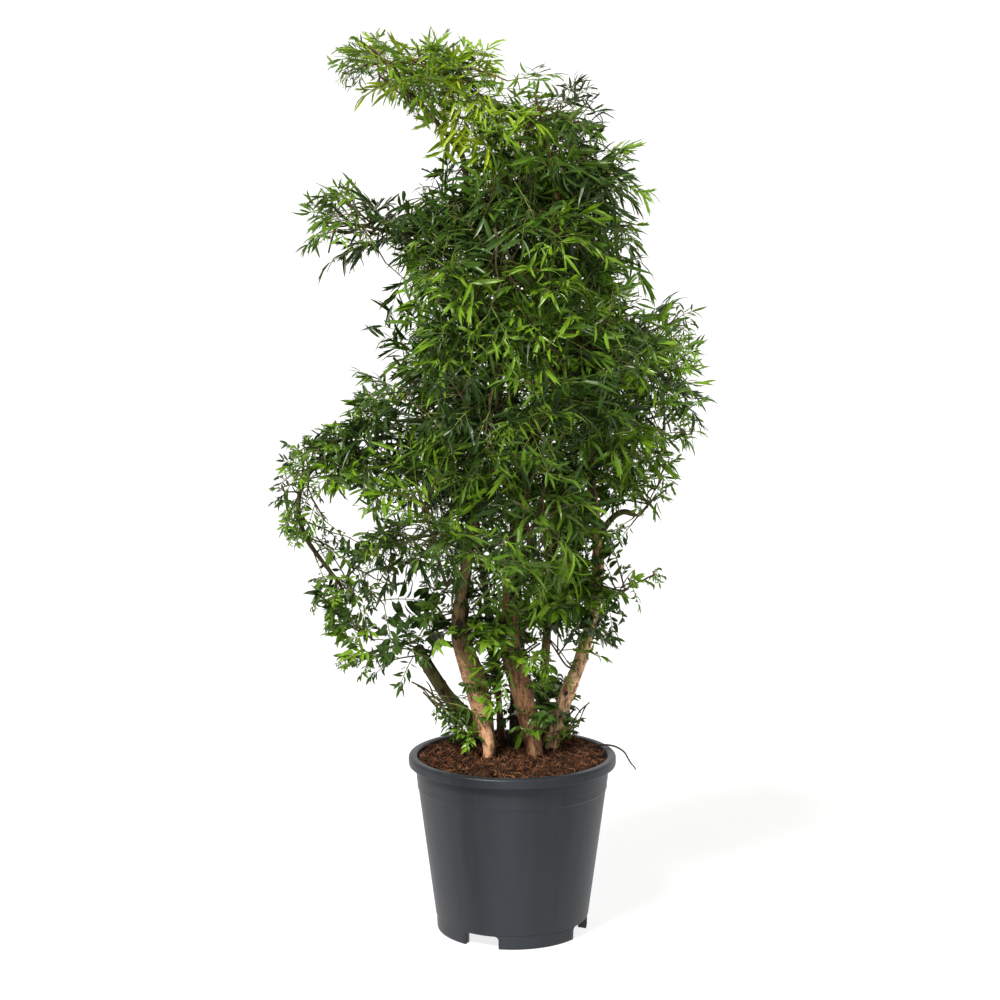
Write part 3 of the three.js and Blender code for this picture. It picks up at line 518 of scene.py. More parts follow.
def potFoot(p, middle):
    # (r cos a, r sin a, z) along an arc of the skirt, with its outline across; the ends stand square to the
    # notch and round over at the top
    across = p["footColumns"]
    arc = 1 - np.sin(np.linspace(0.2, np.pi / 2, 8))
    rise = np.concatenate([np.linspace(0, p["notchRoof"] - p["notchRounding"], 5),
                           p["notchRoof"] - p["notchRounding"] * arc])
    rise[-1] += 0.4  # a little into the body
    outer = p["footRadius"] - p["footTaper"] + p["footTaper"] * np.clip(rise / p["footHeight"], 0, 1)
    outer[0] -= 0.5  # a fine bevel at the ground
    inner = np.full(len(rise), p["footRadius"] - p["footInset"] + 0.05)
    radius = np.concatenate([outer, inner[::-1]])
    height = np.concatenate([rise, rise[::-1]])
    over = np.clip((height - (p["notchRoof"] - p["notchRounding"])) / p["notchRounding"], 0, 1)
    halfWidth = p["notchHalfWidth"] - p["notchRounding"] * (1 - np.sqrt(1 - over ** 2))
    reach = np.pi / p["notches"] - np.arcsin(halfWidth / radius)
    share = np.linspace(-1, 1, across)
    angle = middle + share[:, None] * reach[None]
    points = np.concatenate([polar(radius, angle), np.broadcast_to(height, angle.shape)[..., None]], -1)
    count = len(radius)
    walls = gridFaces(across, count)
    low = np.arange(len(rise) - 1)
    high = 2 * len(rise) - 1 - low
    start = np.stack([low, low + 1, high - 1, high], -1)
    end = start[:, ::-1] + (across - 1) * count
    return points.reshape(-1, 3), [walls[:, ::-1], np.concatenate([start[:, ::-1], end[:, ::-1]])[:, ::-1]]


def makePot(p):
    # the turned body, and a foot between each two notches
    parts = [potBody(p)]
    for i in range(p["notches"]):
        middle = np.radians(p["notchFirst"] + (i + 0.5) * 360 / p["notches"])
        parts.append(potFoot(p, middle))
    points, sets = join(parts)
    piece = buildPiece("nurseryPot", points, sets, [potMaterial])
    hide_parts("pot")


makePot(pot)
print("pot turned")

# Root ball

rng = np.random.default_rng(560)

soil = {
    "top": 283, "edge": 278, "edgeRadius": 155.4, "floor": 25.4, "footRadius": 119.4,
    "mound": [((92, 62), 40, 8), ((-10, 20), 80, 3), ((-90, 90), 50, 4)],  # middle, spread, height
    "relief": 6.5, "rows": 70, "columns": 210,
    "fibres": 2600, "fibreLength": (8, 34), "fibreInset": 1.5, "fibreBend": 0.22, "fibreLift": (0.1, 4.0),
    "fibreArch": (-3, 6), "fibreShares": [0.48, 0.37, 0.15],
    "chips": 1300, "chipInset": 7, "chipSizes": [(2, 11), (1.5, 6), (1, 4)], "chipRough": 0.22,
    "chipTilt": 0.35, "chipLift": (-0.6, 1.2), "chipShares": [0.6, 0.4],
    "roots": 26, "rootLength": (40, 90), "rootInset": 3, "rootWave": (3, 9), "rootWaves": (5, 11),
    "rootLift": (1, 3), "rootRadius": (0.7, 1.5),
    "hangingRoot": [
        (96, 22, 288), (122, 28, 292), (145, 36, 294), (163, 40, 292.5), (176, 42, 288), (187, 42, 280),
        (193, 41, 270), (198, 40, 262), (203, 41, 256), (206, 40, 251),
    ],
}


def ripple(x, y, seed, size, count=40):
    # a sum of sine waves in random directions, each with its own wavelength round size
    draw = np.random.default_rng(seed)
    way = draw.uniform(0, 2 * np.pi, count)
    wave = 2 * np.pi / (size * draw.uniform(0.5, 1.6, count))
    shift = draw.uniform(0, 2 * np.pi, count)
    spots = x[..., None] * np.cos(way) * wave + y[..., None] * np.sin(way) * wave + shift
    return np.sin(spots).sum(-1) / np.sqrt(count)


def soilHeight(flat, s):
    # a shallow dome, edge + rise * (1 - (r / edge radius)^4), with a few mounds and two sizes of ripples
    x, y = flat[..., 0], flat[..., 1]
    r = np.hypot(x, y)
    height = s["edge"] + (s["top"] - s["edge"]) * (1 - (r / s["edgeRadius"]) ** 4)
    for (mx, my), spread, rise in s["mound"]:
        height = height + rise * np.exp(-((x - mx) ** 2 + (y - my) ** 2) / (2 * spread ** 2))
    rough = ripple(x, y, 3, 20) * 0.5 + ripple(x, y, 4, 9) * 0.5
    return height + s["relief"] * rough * np.clip((s["edgeRadius"] - r) / 12, 0.25, 1)


def makeSoil(s):
    # rings of corners (r cos a, r sin a, soilHeight), then one ring and a middle at the pot's floor
    angle = roundAngles(s["columns"])
    share = np.linspace(0, 1, s["rows"])[1:]
    flat = polar(*np.meshgrid(share * s["edgeRadius"], angle, indexing="ij"))
    top = np.concatenate([flat, soilHeight(flat, s)[..., None]], -1)
    foot = np.concatenate([polar(s["footRadius"], angle), np.full((len(angle), 1), s["floor"])], -1)
    points = np.concatenate([top.reshape(-1, 3), foot])
    walls = gridFaces(len(share) + 1, len(angle))[:, ::-1]
    step = np.arange(len(angle))
    last = len(share) * len(angle)
    caps = np.concatenate([fan(len(points), step), fan(len(points) + 1, last + step, True)])
    points = np.concatenate([points, [[0, 0, soilHeight(np.zeros((1, 2)), s)[0]], [0, 0, s["floor"]]]])
    piece = buildPiece("pottingMix", points, [walls, caps],
                       [makeSoilMaterial("dampMix", (0.010, 0.005, 0.003), (0.080, 0.032, 0.015), 260.0)])
    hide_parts("root_ball")


def strandsOnMix(s, radius, lengths, t, inset, sideways):
    # strands laid flat: start + way * length * t + side * sideways, kept that far inside the edge
    count = len(radius)
    turn = rng.uniform(0, 2 * np.pi, count)
    heading = rng.uniform(0, 2 * np.pi, count)
    length = rng.uniform(*lengths, count)
    way = polar(1.0, heading)
    side = np.stack([-way[:, 1], way[:, 0]], -1)
    flat = polar(radius, turn)[:, None] + way[:, None] * (length[:, None] * t)[..., None]
    flat = flat + side[:, None] * sideways(length, turn)[..., None]
    far = np.linalg.norm(flat, axis=-1, keepdims=True)
    return flat * np.minimum(1, (s["edgeRadius"] - inset) / np.maximum(far, 1))


def makeFibres(s):
    # short strands in three browns, bent to the side by bend * cos(pi t)
    count = s["fibres"]
    sides = 3
    t = np.linspace(-0.5, 0.5, 5)

    def bent(length, turn):
        # a longer strand bends further
        return (rng.normal(0, s["fibreBend"], count) * length)[:, None] * np.cos(np.pi * t)

    radius = s["edgeRadius"] * np.sqrt(rng.uniform(0, 0.97, count))
    flat = strandsOnMix(s, radius, s["fibreLength"], t, s["fibreInset"], bent)
    lift = rng.uniform(*s["fibreLift"], count)[:, None]
    lift = lift + rng.uniform(*s["fibreArch"], count)[:, None] * t ** 2
    paths = np.concatenate([flat, (soilHeight(flat, s) + lift)[..., None]], -1)
    thick = (0.35 + 0.95 * rng.uniform(0, 1, count) ** 2)[:, None] * (1 - 1.2 * t ** 2)
    kinds = [("darkFibre", (0.024, 0.011, 0.006), (0.055, 0.023, 0.011)),
             ("redFibre", (0.085, 0.029, 0.012), (0.14, 0.052, 0.020)),
             ("orangeFibre", (0.20, 0.085, 0.034), (0.30, 0.14, 0.06))]
    share = rng.choice(len(kinds), count, p=s["fibreShares"])
    points, sets = tubes(paths, thick, sides)
    which = np.concatenate([np.repeat(share, (len(t) - 1) * sides), share, share])
    piece = buildPiece("mixFibres", points, sets,
                       [makeSoilMaterial(*kind, 500.0) for kind in kinds], which=which)


def makeChips(s):
    # bark chips: an eight-faced lump, stretched three ways, turned and half sunk
    count = s["chips"]
    corners = np.array([[1, 0, 0], [-1, 0, 0], [0, 1, 0], [0, -1, 0], [0, 0, 1], [0, 0, -1]], float)
    faces = np.array([[0, 2, 4], [2, 1, 4], [1, 3, 4], [3, 0, 4], [2, 0, 5], [1, 2, 5], [3, 1, 5], [0, 3, 5]])
    shape = corners[None] + rng.normal(0, s["chipRough"], (count, *corners.shape))
    stretch = [rng.uniform(*size, count) for size in s["chipSizes"]]
    shape = shape * np.stack(stretch, -1)[:, None]
    heading = rng.uniform(0, 2 * np.pi, count)
    tilt = rng.normal(0, s["chipTilt"], (count, 2))
    ahead = unit(np.stack([np.cos(heading), np.sin(heading), tilt[:, 0]], -1))
    aside = unit(np.cross(np.stack([tilt[:, 1], tilt[:, 0], np.ones(count)], -1), ahead))
    above = np.cross(ahead, aside)
    turned = shape[..., :1] * ahead[:, None] + shape[..., 1:2] * aside[:, None]
    turned = turned + shape[..., 2:] * above[:, None]
    radius = (s["edgeRadius"] - s["chipInset"]) * np.sqrt(rng.uniform(0, 1, count))
    flat = polar(radius, rng.uniform(0, 2 * np.pi, count))
    height = soilHeight(flat, s) + rng.uniform(*s["chipLift"], count)
    points = turned + np.concatenate([flat, height[:, None]], -1)[:, None]
    first = (np.arange(count) * len(corners))[:, None, None]
    kinds = [("darkChip", (0.02, 0.010, 0.006), (0.06, 0.026, 0.013)),
             ("redChip", (0.075, 0.028, 0.013), (0.14, 0.055, 0.024))]
    share = rng.choice(len(kinds), count, p=s["chipShares"])
    piece = buildPiece("mixChips", points, [(faces[None] + first).reshape(-1, 3)],
                       [makeSoilMaterial(*kind, 420.0) for kind in kinds],
                       smooth=False, which=np.repeat(share, len(faces)))


def smoothPath(points, steps):
    # a curve through the points; between b and c, with neighbours a and d, it is half of
    # 2b + (c - a) t + (2a - 5b + 4c - d) t^2 + (3b - a - 3c + d) t^3
    p = np.asarray(points, float)
    p = np.concatenate([[2 * p[0] - p[1]], p, [2 * p[-1] - p[-2]]])
    t = np.linspace(0, 1, steps, endpoint=False)[:, None]
    out = []
    for a, b, c, d in zip(p[:-3], p[1:-2], p[2:-1], p[3:]):
        square = 2 * a - 5 * b + 4 * c - d
        cube = 3 * b - a - 3 * c + d
        out.append(0.5 * (2 * b + (c - a) * t + square * t ** 2 + cube * t ** 3))
    return np.concatenate(out + [p[-2][None]])


def makeStrand(s):
    # a thin root that lies over the rim and hangs down outside it
    path = smoothPath(s["hangingRoot"], 8)
    thick = np.linspace(2.0, 1.0, len(path))
    points, sets = tubes(path[None], thick[None], 5)
    piece = buildPiece("hangingRoot", points, sets, [bpy.data.materials["darkFibre"]])


def makeRoots(s):
    # thin woody roots that show at the top of the mix, waved to the side by width * sin(waves * t + turn)
    count = s["roots"]
    t = np.linspace(-0.5, 0.5, 18)

    def waved(length, turn):
        # the turn shifts each root's wave
        width = rng.uniform(*s["rootWave"], count)[:, None]
        return width * np.sin(rng.uniform(*s["rootWaves"], count)[:, None] * t + turn[:, None])

    radius = s["edgeRadius"] * rng.uniform(0.2, 0.8, count)
    flat = strandsOnMix(s, radius, s["rootLength"], t, s["rootInset"], waved)
    height = soilHeight(flat, s) + rng.uniform(*s["rootLift"], count)[:, None] * (1 - 9 * t ** 2)
    thick = rng.uniform(*s["rootRadius"], count)[:, None] * (1 - 1.6 * t ** 2)
    points, sets = tubes(np.concatenate([flat, height[..., None]], -1), thick, 5)
    piece = buildPiece("mixRoots", points, sets,
                       [makeSoilMaterial("rootSkin", (0.12, 0.055, 0.026), (0.26, 0.13, 0.065), 300.0)])


makeSoil(soil)
makeFibres(soil)
makeChips(soil)
makeStrand(soil)
makeRoots(soil)
print("potting mix laid")

# Stems and boughs: the source's own points and radii

footLevel = 284.3
flareRise = 16.0
stems = {
    # foot and tip radius, taper, flare, points
    "stem_left": (12.5, 9, 0.8, 0.45, [
        (-50, 84, 284), (-64, 60, 322), (-86, 46, 352), (-108, 40, 378), (-130, 36, 412), (-146, 32, 440),
        (-156, 30, 460),
    ]),
    "stem_front_left": (17, 5, 1.6, 0.12, [
        (-44, -30, 284), (-43, -22, 306), (-46, -12, 330), (-51, -5, 364), (-61, -5, 412), (-76, -9, 458),
        (-86, -15, 497), (-84, -24, 549), (-59, -60, 683), (-27, -112, 790),
    ]),
    "stem_thin": (8, 4, 0.8, 0.45, [
        (-18, 88, 284), (-19, 88, 306), (-23, 90, 364), (-29, 94, 412), (-34, 100, 470), (-50, 118, 580),
        (-62, 136, 685),
    ]),
    "stem_centre": (14.6, 5.5, 1.1, 0.12, [
        (37, -8, 284), (34, -5, 307), (27, -3, 344), (17, -3, 383), (5, -4, 431), (-4, -4, 479),
        (-5, -4, 530), (0, -5, 610), (26, -10, 757), (44, -15, 902), (57, -25, 1030), (68, -52, 1196),
    ]),
    "stem_right": (13, 5, 0.8, 0.15, [
        (62, 38, 284), (65, 36, 302), (74, 34, 335), (87, 33, 372), (104, 31, 414), (118, 29, 456),
        (128, 27, 493), (136, 24, 540), (141, 21, 590), (137, 18, 660), (126, 8, 760), (128, -4, 880),
        (139, -22, 1002),
    ]),
    "stem_back_right": (8, 4.5, 0.8, 0.45, [
        (57, 95, 284), (55, 95, 415), (68, 92, 596), (76, 85, 732), (82, 84, 865), (98, 88, 1029),
        (125, 90, 1160),
    ]),
    "stem_tuft": (9, 4.5, 0.8, 0.45, [
        (-36, 42, 284), (-46, 42, 347), (-62, 46, 410), (-76, 50, 470), (-80, 48, 530), (-72, 44, 620),
        (-68, 38, 753), (-71, 30, 916), (-80, 20, 1029), (-69, 14, 1140), (-76, 2, 1240), (-93, -5, 1284),
    ]),
    "stem_back": (13, 4.5, 0.8, 0.45, [
        (10, 58, 284), (8, 66, 340), (10, 82, 420), (8, 106, 500), (6, 122, 589), (10, 132, 742),
        (0, 140, 860), (-10, 140, 935),
    ]),
}
archRise = [(-66, 36, 690), (-120, 12, 732), (-180, -8, 758), (-240, -18, 776)]
archFall = [(-240, -18, 776), (-256, -20, 781), (-300, -24, 776), (-334, -26, 742), (-344, -24, 694),
            (-332, -20, 648), (-304, -17, 606), (-278, -15, 572)]
stemLooks = {
    # the back stem's near-black bark is painted shade of the cavity behind the other stems
    "stem_left": "mossBark", "stem_front_left": "brownBark", "stem_thin": "roseBark",
    "stem_centre": "roseBark", "stem_right": "lightBark", "stem_back_right": "brownBark",
    "stem_tuft": "brownBark", "stem_back": "cavityShadeBark",
}
girths = {
    # height and radius where a stem swells or is pinched
    "stem_front_left": [
        (275, 8), (317, 9.5), (358, 12), (399, 14.5), (440, 15.5), (475, 14.8), (500, 12), (549, 9),
        (683, 6.5), (790, 5),
    ],
    "stem_centre": [
        (275, 13.5), (310, 14.2), (345, 16.6), (400, 16.8), (470, 15.6), (530, 12), (757, 9.5),
        (1196, 5.5),
    ],
    "stem_thin": [
        (275, 8.5), (320, 6), (360, 5), (385, 6), (415, 8), (460, 7.2), (580, 5), (685, 4),
    ],
}
twin = {
    # the paler stem that has grown together with the front left one, and how that one gives way to it
    "name": "barked_pale_front",
    "line": [
        (-44, -30, 284), (-39, -26, 307), (-50, -17, 348), (-62, -13, 389), (-71, -12, 413), (-84, -14, 450),
        (-91, -16, 474),
    ],
    "girth": [
        (275, 5), (290, 5.8), (307, 9.4), (330, 10.8), (348, 11.5), (389, 11), (413, 9.6), (450, 7.4),
        (474, 4),
    ],
    "shift": (6, 10), "shiftTop": 450,
}
bark = {
    "sides": 28, "ringStep": 3.6, "sink": 9.0, "ridge": 0.06, "ridges": 9,
    "lobes": 0.055, "waves": ((2, 0.7), (3, 1.0), (5, 0.5)),  # lobes round the stem, and how strong
    "scar": 1.3, "scarEvery": 34.0, "scarFirst": 18, "scarStray": 9, "scarHeight": 2.2,
}


def limbLine(points, foot, tip, taper, flare):
    # the source's line: an extra point just over the flare, and radii that fall from foot to tip
    line = [np.array(p, float) for p in points]
    line[0][2] = footLevel
    line.insert(1, line[0] + (line[1] - line[0]) * flareRise / (line[1][2] - footLevel))
    line = np.array(line)
    share = (line[:, 2] - footLevel) / (line[-1, 2] - footLevel)
    swell = 1 + flare * np.exp(-(line[:, 2] - footLevel) / flareRise)
    return line, (foot + (tip - foot) * share ** taper) * swell


def barkedLimb(line, foot, tip, taper, flare, seed, b, girth=None):
    # rings along a smooth path; radius * (slow lobes + long ridges) + a swollen ring at each old leaf scar
    # a girth gives the radius at some heights of a limb that swells or is pinched
    path = smoothPath(line, 24)
    if flare > 0:
        path = np.concatenate([[path[0] - np.array([0, 0, b["sink"]])], path])
    gaps = np.linalg.norm(np.diff(path, axis=0), axis=1)
    reach = np.concatenate([[0], np.cumsum(gaps)])
    count = max(8, int(reach[-1] / b["ringStep"]))
    spot = np.linspace(0, reach[-1], count)
    path = np.stack([np.interp(spot, reach, path[:, k]) for k in range(3)], -1)
    if flare > 0:
        share = np.clip((path[:, 2] - footLevel) / (path[-1, 2] - footLevel), 0, 1)
        swell = 1 + flare * np.exp(-np.maximum(path[:, 2] - footLevel, 0) / flareRise)
    else:
        share = spot / reach[-1]
        swell = np.ones(count)
    radius = (foot + (tip - foot) * share ** taper) * swell
    if girth:
        radius = np.interp(path[:, 2], *np.array(girth, float).T)
    draw = np.random.default_rng(seed)
    angle = roundAngles(b["sides"])
    s, a = np.meshgrid(spot, angle, indexing="ij")
    shape = np.ones_like(s)
    for wave, gain in b["waves"]:
        shape += b["lobes"] * gain * np.sin(wave * a + draw.uniform(0, 6.28) + s / draw.uniform(35, 80)) * 0.6
    for wave in draw.integers(6, 17, b["ridges"]):
        drift = draw.uniform(0, 6.28) + 1.4 * np.sin(s / draw.uniform(14, 34) + draw.uniform(0, 6.28))
        shape += b["ridge"] * 0.45 * np.sin(wave * a + drift)
    shape += (swell[:, None] - 1) * 0.35 * np.maximum(np.sin(3 * a + draw.uniform(0, 6.28)), -0.4)
    size = radius[:, None] * shape
    scarSpots = np.arange(b["scarFirst"], reach[-1], b["scarEvery"])
    for place in scarSpots + draw.uniform(-b["scarStray"], b["scarStray"], len(scarSpots)):
        turn = draw.uniform(0, 2 * np.pi)
        wide = 0.55 + 0.45 * np.cos(a - turn)
        size += b["scar"] * min(1, foot / 9) * wide * np.exp(-((s - place) / b["scarHeight"]) ** 2)
    along, side, across = ringFrames(path[None])
    if flare > 0:
        along[0, :3] = up
        side[0, :3] = np.array([1.0, 0, 0])
        across[0, :3] = np.array([0, 1.0, 0])
    ring = side[0][:, None] * np.cos(angle)[:, None] + across[0][:, None] * np.sin(angle)[:, None]
    points = (path[:, None] + ring * size[..., None]).reshape(-1, 3)
    last = (count - 1) * b["sides"]
    step = np.arange(b["sides"])
    caps = np.concatenate([fan(len(points), step, True), fan(len(points) + 1, last + step)])
    points = np.concatenate([points, [path[0], path[-1] + along[0, -1] * tip * 0.25]])
    return points, [gridFaces(count, b["sides"]), caps]


limbs = {}
for i, (name, (foot, tip, taper, flare, points)) in enumerate(stems.items()):
    line, radii = limbLine(points, foot, tip, taper, flare)
    limbs[name] = {"points": line, "radii": radii}
    if name == "stem_front_left":
        give = np.clip((twin["shiftTop"] - line[:, 2]) / (twin["shiftTop"] - footLevel), 0, 1) ** 0.6
        line = line + give[:, None] * np.array([*twin["shift"], 0])
    stemPoints, stemSets = barkedLimb(line, foot, tip, taper, flare, 40 + i, bark, girths.get(name))
    piece = buildPiece(name.replace("stem_", "barked_"), stemPoints, stemSets,
                       [barkMaterials[stemLooks[name]]])
    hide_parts(name)
    "light_bark" if name == "stem_right" else "brown_bark"
stemPoints, stemSets = barkedLimb(np.array(twin["line"], float), 11, 4, 1, 0.1, 61, bark, twin["girth"])
piece = buildPiece(twin["name"], stemPoints, stemSets, [barkMaterials["tanBark"]])
arches = (("bough_arch_rise", archRise, 5.5, 4.2), ("bough_arch_fall", archFall, 4.2, 3.0))
for name, line, foot, tip in arches:
    line = np.array(line, float)
    limbs[name] = {"points": line, "radii": foot + (tip - foot) * np.arange(len(line)) / (len(line) - 1)}


def limbAt(limb, height):
    # point, radius and heading where the limb first crosses that height
    points, radii = limb["points"], limb["radii"]
    for i in range(1, len(points)):
        a, b = points[i - 1], points[i]
        if (a[2] - height) * (b[2] - height) <= 0:
            share = (height - a[2]) / (b[2] - a[2])
            return a + (b - a) * share, radii[i - 1] + (radii[i] - radii[i - 1]) * share, unit(b - a)
    raise ValueError("no such height on the limb")


knotsAndForkShadow = [
    # limb, height, way it faces, half length, half width; the long one on the front left stem at 503 is
    # painted shadow in its fork
    ("stem_front_left", 503, (-0.1, -1), 19, 6.5), ("stem_front_left", 400, (0.5, -1), 6, 3.5),
    ("stem_front_left", 452, (0.3, -1), 5, 3), ("stem_centre", 332, (0.5, -1), 6, 4),
    ("stem_centre", 402, (-0.4, -1), 7, 4), ("stem_right", 346, (0.2, -1), 4, 2.6),
    ("stem_right", 384, (-0.3, -1), 4.5, 3), ("stem_right", 455, (0.3, -1), 4, 3),
    ("stem_left", 388, (-0.2, -1), 6, 3.5), ("stem_back_right", 380, (0.3, 1), 5, 3),
    ("stem_back", 420, (0.2, 1), 7, 4), ("stem_tuft", 380, (-0.6, 0.8), 6, 3.5),
]


def lens(middle, a, b, c):
    # a squashed ball: middle + a * x + b * y + c * z over the unit ball, with its poles along a
    rows, columns = 9, 14
    tilt = np.linspace(0, np.pi, rows)[1:-1]
    turn = roundAngles(columns)
    x = np.cos(tilt)[:, None] * np.ones(columns)
    y = np.sin(tilt)[:, None] * np.cos(turn)
    z = np.sin(tilt)[:, None] * np.sin(turn)
    ball = np.stack([x, y, z], -1).reshape(-1, 3)
    step = np.arange(columns)
    last = len(ball) - columns
    caps = np.concatenate([fan(len(ball), step), fan(len(ball) + 1, last + step, True)])
    ball = np.concatenate([ball, [[1, 0, 0], [-1, 0, 0]]])
    points = middle + ball[:, :1] * a + ball[:, 1:2] * b + ball[:, 2:] * c
    return points, [gridFaces(rows - 2, columns)[:, ::-1], caps]


def makeKnotsAndForkShadow(spots):
    # old branch scars sunk in the bark, one long one that is painted shadow in a fork, and the dark sawn end
    # of the left stub
    parts = []
    for name, height, facing, long, wide in spots:
        middle, radius, along = limbAt(limbs[name], height)
        out = np.array([*facing, 0.0])
        out = unit(out - along * (out @ along))
        across = np.cross(out, along)
        parts.append(lens(middle + out * radius * 0.93, along * long, across * wide, out * radius * 0.14))
    before, end = limbs["stem_left"]["points"][-2:]
    endRadius = 7.6
    along = unit(end - before)
    across = unit(np.cross(along, up)) * endRadius
    parts.append(lens(end + along * 1.5, along * 2.4, across, np.cross(along, across)))
    points, sets = join(parts)
    # near black: the colour of the scars and of the painted fork shadow
    material = newMaterial("knotWoodAndForkShadow", {"Base Color": (0.022, 0.013, 0.008, 1), "Roughness": 0.9})[0]
    piece = buildPiece("knotsAndForkShadow", points, sets, [material])


makeKnotsAndForkShadow(knotsAndForkShadow)
print("stems barked")

# Rooms of the leafy masses, as in the source

massRow = namedtuple("massRow", "middle reach limb tone form dense height rise core full sprouts",
                     defaults=(None, None, None, 1, False))
masses = {
    # middle, reach, limb, tone, leaf form, how dense its leaves are; then, where they differ from the rest,
    # height on the limb instead of its tip, rise of a bough of its own, core, how full the source has it,
    # and whether leaves sprout along its limb too
    "tuft_crest": massRow((-94, -10, 1388), (92, 80, 85), "stem_tuft", "young", "tuft", 2.1, full=1.4),
    "tuft_side": massRow((-202, -30, 1398), (86, 76, 60), "stem_tuft", "tuft", "tuft", 2.7,
            height=1262, rise=10, full=1.4),
    "dome_front": massRow((46, -55, 1296), (114, 100, 108), "stem_centre", "dark", "narrow", 1.1),
    "dome_back": massRow((122, 80, 1226), (112, 108, 104), "stem_back_right", "dark", "narrow", 1),
    "upper_crest": massRow((-22, 14, 1226), (106, 96, 100), "stem_tuft", "mid", "narrow", 0.9, height=1130),
    "left_spray": massRow((-248, -20, 1144), (100, 78, 80), "stem_tuft", "mid", "cut", 1.5,
            height=1120, rise=14, full=1.4, sprouts=True),
    "upper_front": massRow((-12, -114, 1086), (136, 112, 124), "stem_centre", "bright", "narrow", 1,
            height=930, rise=60, core=0.5),
    "upper_right": massRow((137, -40, 1112), (104, 110, 116), "stem_right", "mid", "narrow", 0.8),
    "upper_back": massRow((-20, 140, 1085), (136, 112, 140), "stem_back", "mid", "narrow", 1, core=0.45),
    "upper_west": massRow((-124, 0, 1090), (84, 114, 126), "stem_tuft", "bright", "narrow", 0.85, height=960),
    "right_high": massRow((198, 10, 974), (114, 102, 94), "stem_right", "mid", "narrow", 1.25,
            height=850, rise=50),
    "right_low": massRow((226, -20, 868), (102, 106, 108), "stem_right", "bright", "narrow", 1.2,
            height=740, rise=40),
    "mid_left": massRow((-156, -20, 894), (103, 112, 134), "stem_tuft", "mid", "narrow", 1.05,
            height=790, rise=30),
    "mid_front": massRow((-25, -134, 893), (120, 108, 130), "stem_front_left", "dark", "narrow", 1, core=0.5),
    "mid_right": massRow((112, -108, 935), (104, 106, 130), "stem_centre", "mid", "narrow", 1,
            height=760, rise=50, core=0.45),
    "mid_back": massRow((-70, 154, 835), (140, 110, 140), "stem_thin", "mid", "narrow", 1, core=0.45),
    "mid_back_right": massRow((150, 148, 1000), (124, 106, 140), "stem_back_right", "mid", "narrow", 1,
            height=860, rise=40, core=0.45),
    "back_right_low": massRow((130, 164, 780), (120, 100, 124), "stem_back_right", "mid", "narrow", 1,
            height=620, rise=40),
    "arch_high": massRow((-230, -20, 780), (106, 82, 70), "bough_arch_rise", "olive", "small", 2.3,
            height=746, sprouts=True),
    "arch_low": massRow((-338, -48, 727), (54, 72, 88), "bough_arch_fall", "olive", "small", 3.4,
            height=712, full=1.6, sprouts=True),
    "arch_foot": massRow((-270, -14, 575), (62, 60, 92), "bough_arch_fall", "olive", "oval", 1.9,
            full=1.4, sprouts=True),
    "left_low": massRow((-222, -20, 462), (72, 60, 48), "stem_left", "dark", "oval", 1.6, full=1.3),
    "low_left": massRow((-137, -68, 686), (122, 112, 126), "stem_front_left", "mid", "narrow", 1.2,
            height=530, rise=40),
    "low_front": massRow((38, -128, 702), (114, 104, 120), "stem_centre", "mid", "narrow", 0.95,
            height=540, rise=40, core=0.45),
    "low_right": massRow((132, 0, 704), (82, 102, 112), "stem_right", "mid", "narrow", 1, height=670),
    "low_back": massRow((0, 180, 608), (146, 98, 118), "stem_back", "mid", "narrow", 0.9, height=500),
    "right_hang": massRow((231, 10, 706), (44, 60, 57), "stem_right", "bright", "small", 2.0,
            height=640, rise=40, sprouts=True),
    "low_west": massRow((-130, 8, 498), (46, 56, 68), "stem_left", "mid", "small", 1.7,
            height=445, full=1.2, sprouts=True),
    "low_heart": massRow((-12, 52, 516), (70, 62, 74), "stem_thin", "dark", "small", 0.8, height=470),
    "low_east": massRow((58, 10, 474), (50, 64, 126), "stem_right", "bright", "small", 1.9,
            height=425, full=1.2),
    "sprig_right": massRow((192, 8, 562), (62, 54, 54), "stem_right", "mid", "oval", 1.9, height=540),
    "sprig_base_left": massRow((-149, 6, 396), (48, 50, 43), "stem_left", "mid", "small", 1, height=378),
    "sprig_base_right": massRow((114, 28, 352), (38, 44, 48), "stem_right", "bright", "oval", 1.2,
            height=335),
}
gaps = {
    # gaps seen through the crown from the front: middle across and up, half width and half height
    "round": (-269, 691, 24, 51),
    "right": (198, 652, 26, 24),
    "low_left": (-174, 546, 36, 24),
    "under_tuft": (-206, 1272, 76, 61),
    "under_spray": (-262, 1018, 61, 46),
    "over_tuft": (-162, 1441, 24, 16),
    "notch": (-2, 1372, 14, 34),
    "right_shoulder": (212, 1020, 24, 22),
    "between_stems": (-46, 468, 12, 22),
}
rule = {
    "clearance": 0.3, "spaceGap": 0.6, "limbGap": 0.6, "lowestLeaf": 300, "farthest": 400,
    "boughFoot": 5.6, "boughTip": 4.2, "boughSteps": 3, "boughInto": 0.94, "boughOfStem": 0.7,
    "stemletLead": 10, "stemletBeyond": 0.5, "stemletOfStem": 0.8, "stemletMost": 4.5,
    "twigShare": 0.7, "twigTries": 4, "twigWander": 60, "twigShortest": 12, "twigRadius": 2.8,
    "leafArea": 840, "fewestLeaves": 7, "mostLeaves": 20, "leavesPerTwig": 4.4, "fewestTwigs": 3,
    "coreTwigs": 4, "coreDepth": 0.72, "firstSeed": 560,
}
skies = {
    # smaller spots where the photo shows sky: as the gaps, but only shoots and leaves keep clear of them
    "rightOfStem": (168, 690, 28, 30),
    "shoulder": (206, 1064, 24, 28),
    "spray": (-216, 1078, 26, 22),
    "roundRight": (-250, 690, 18, 38),
    "lowLeftUpper": (-146, 566, 20, 15),
    "leftOfFoot": (-168, 430, 24, 18),
    "leftFork": (-100, 410, 14, 26),
}


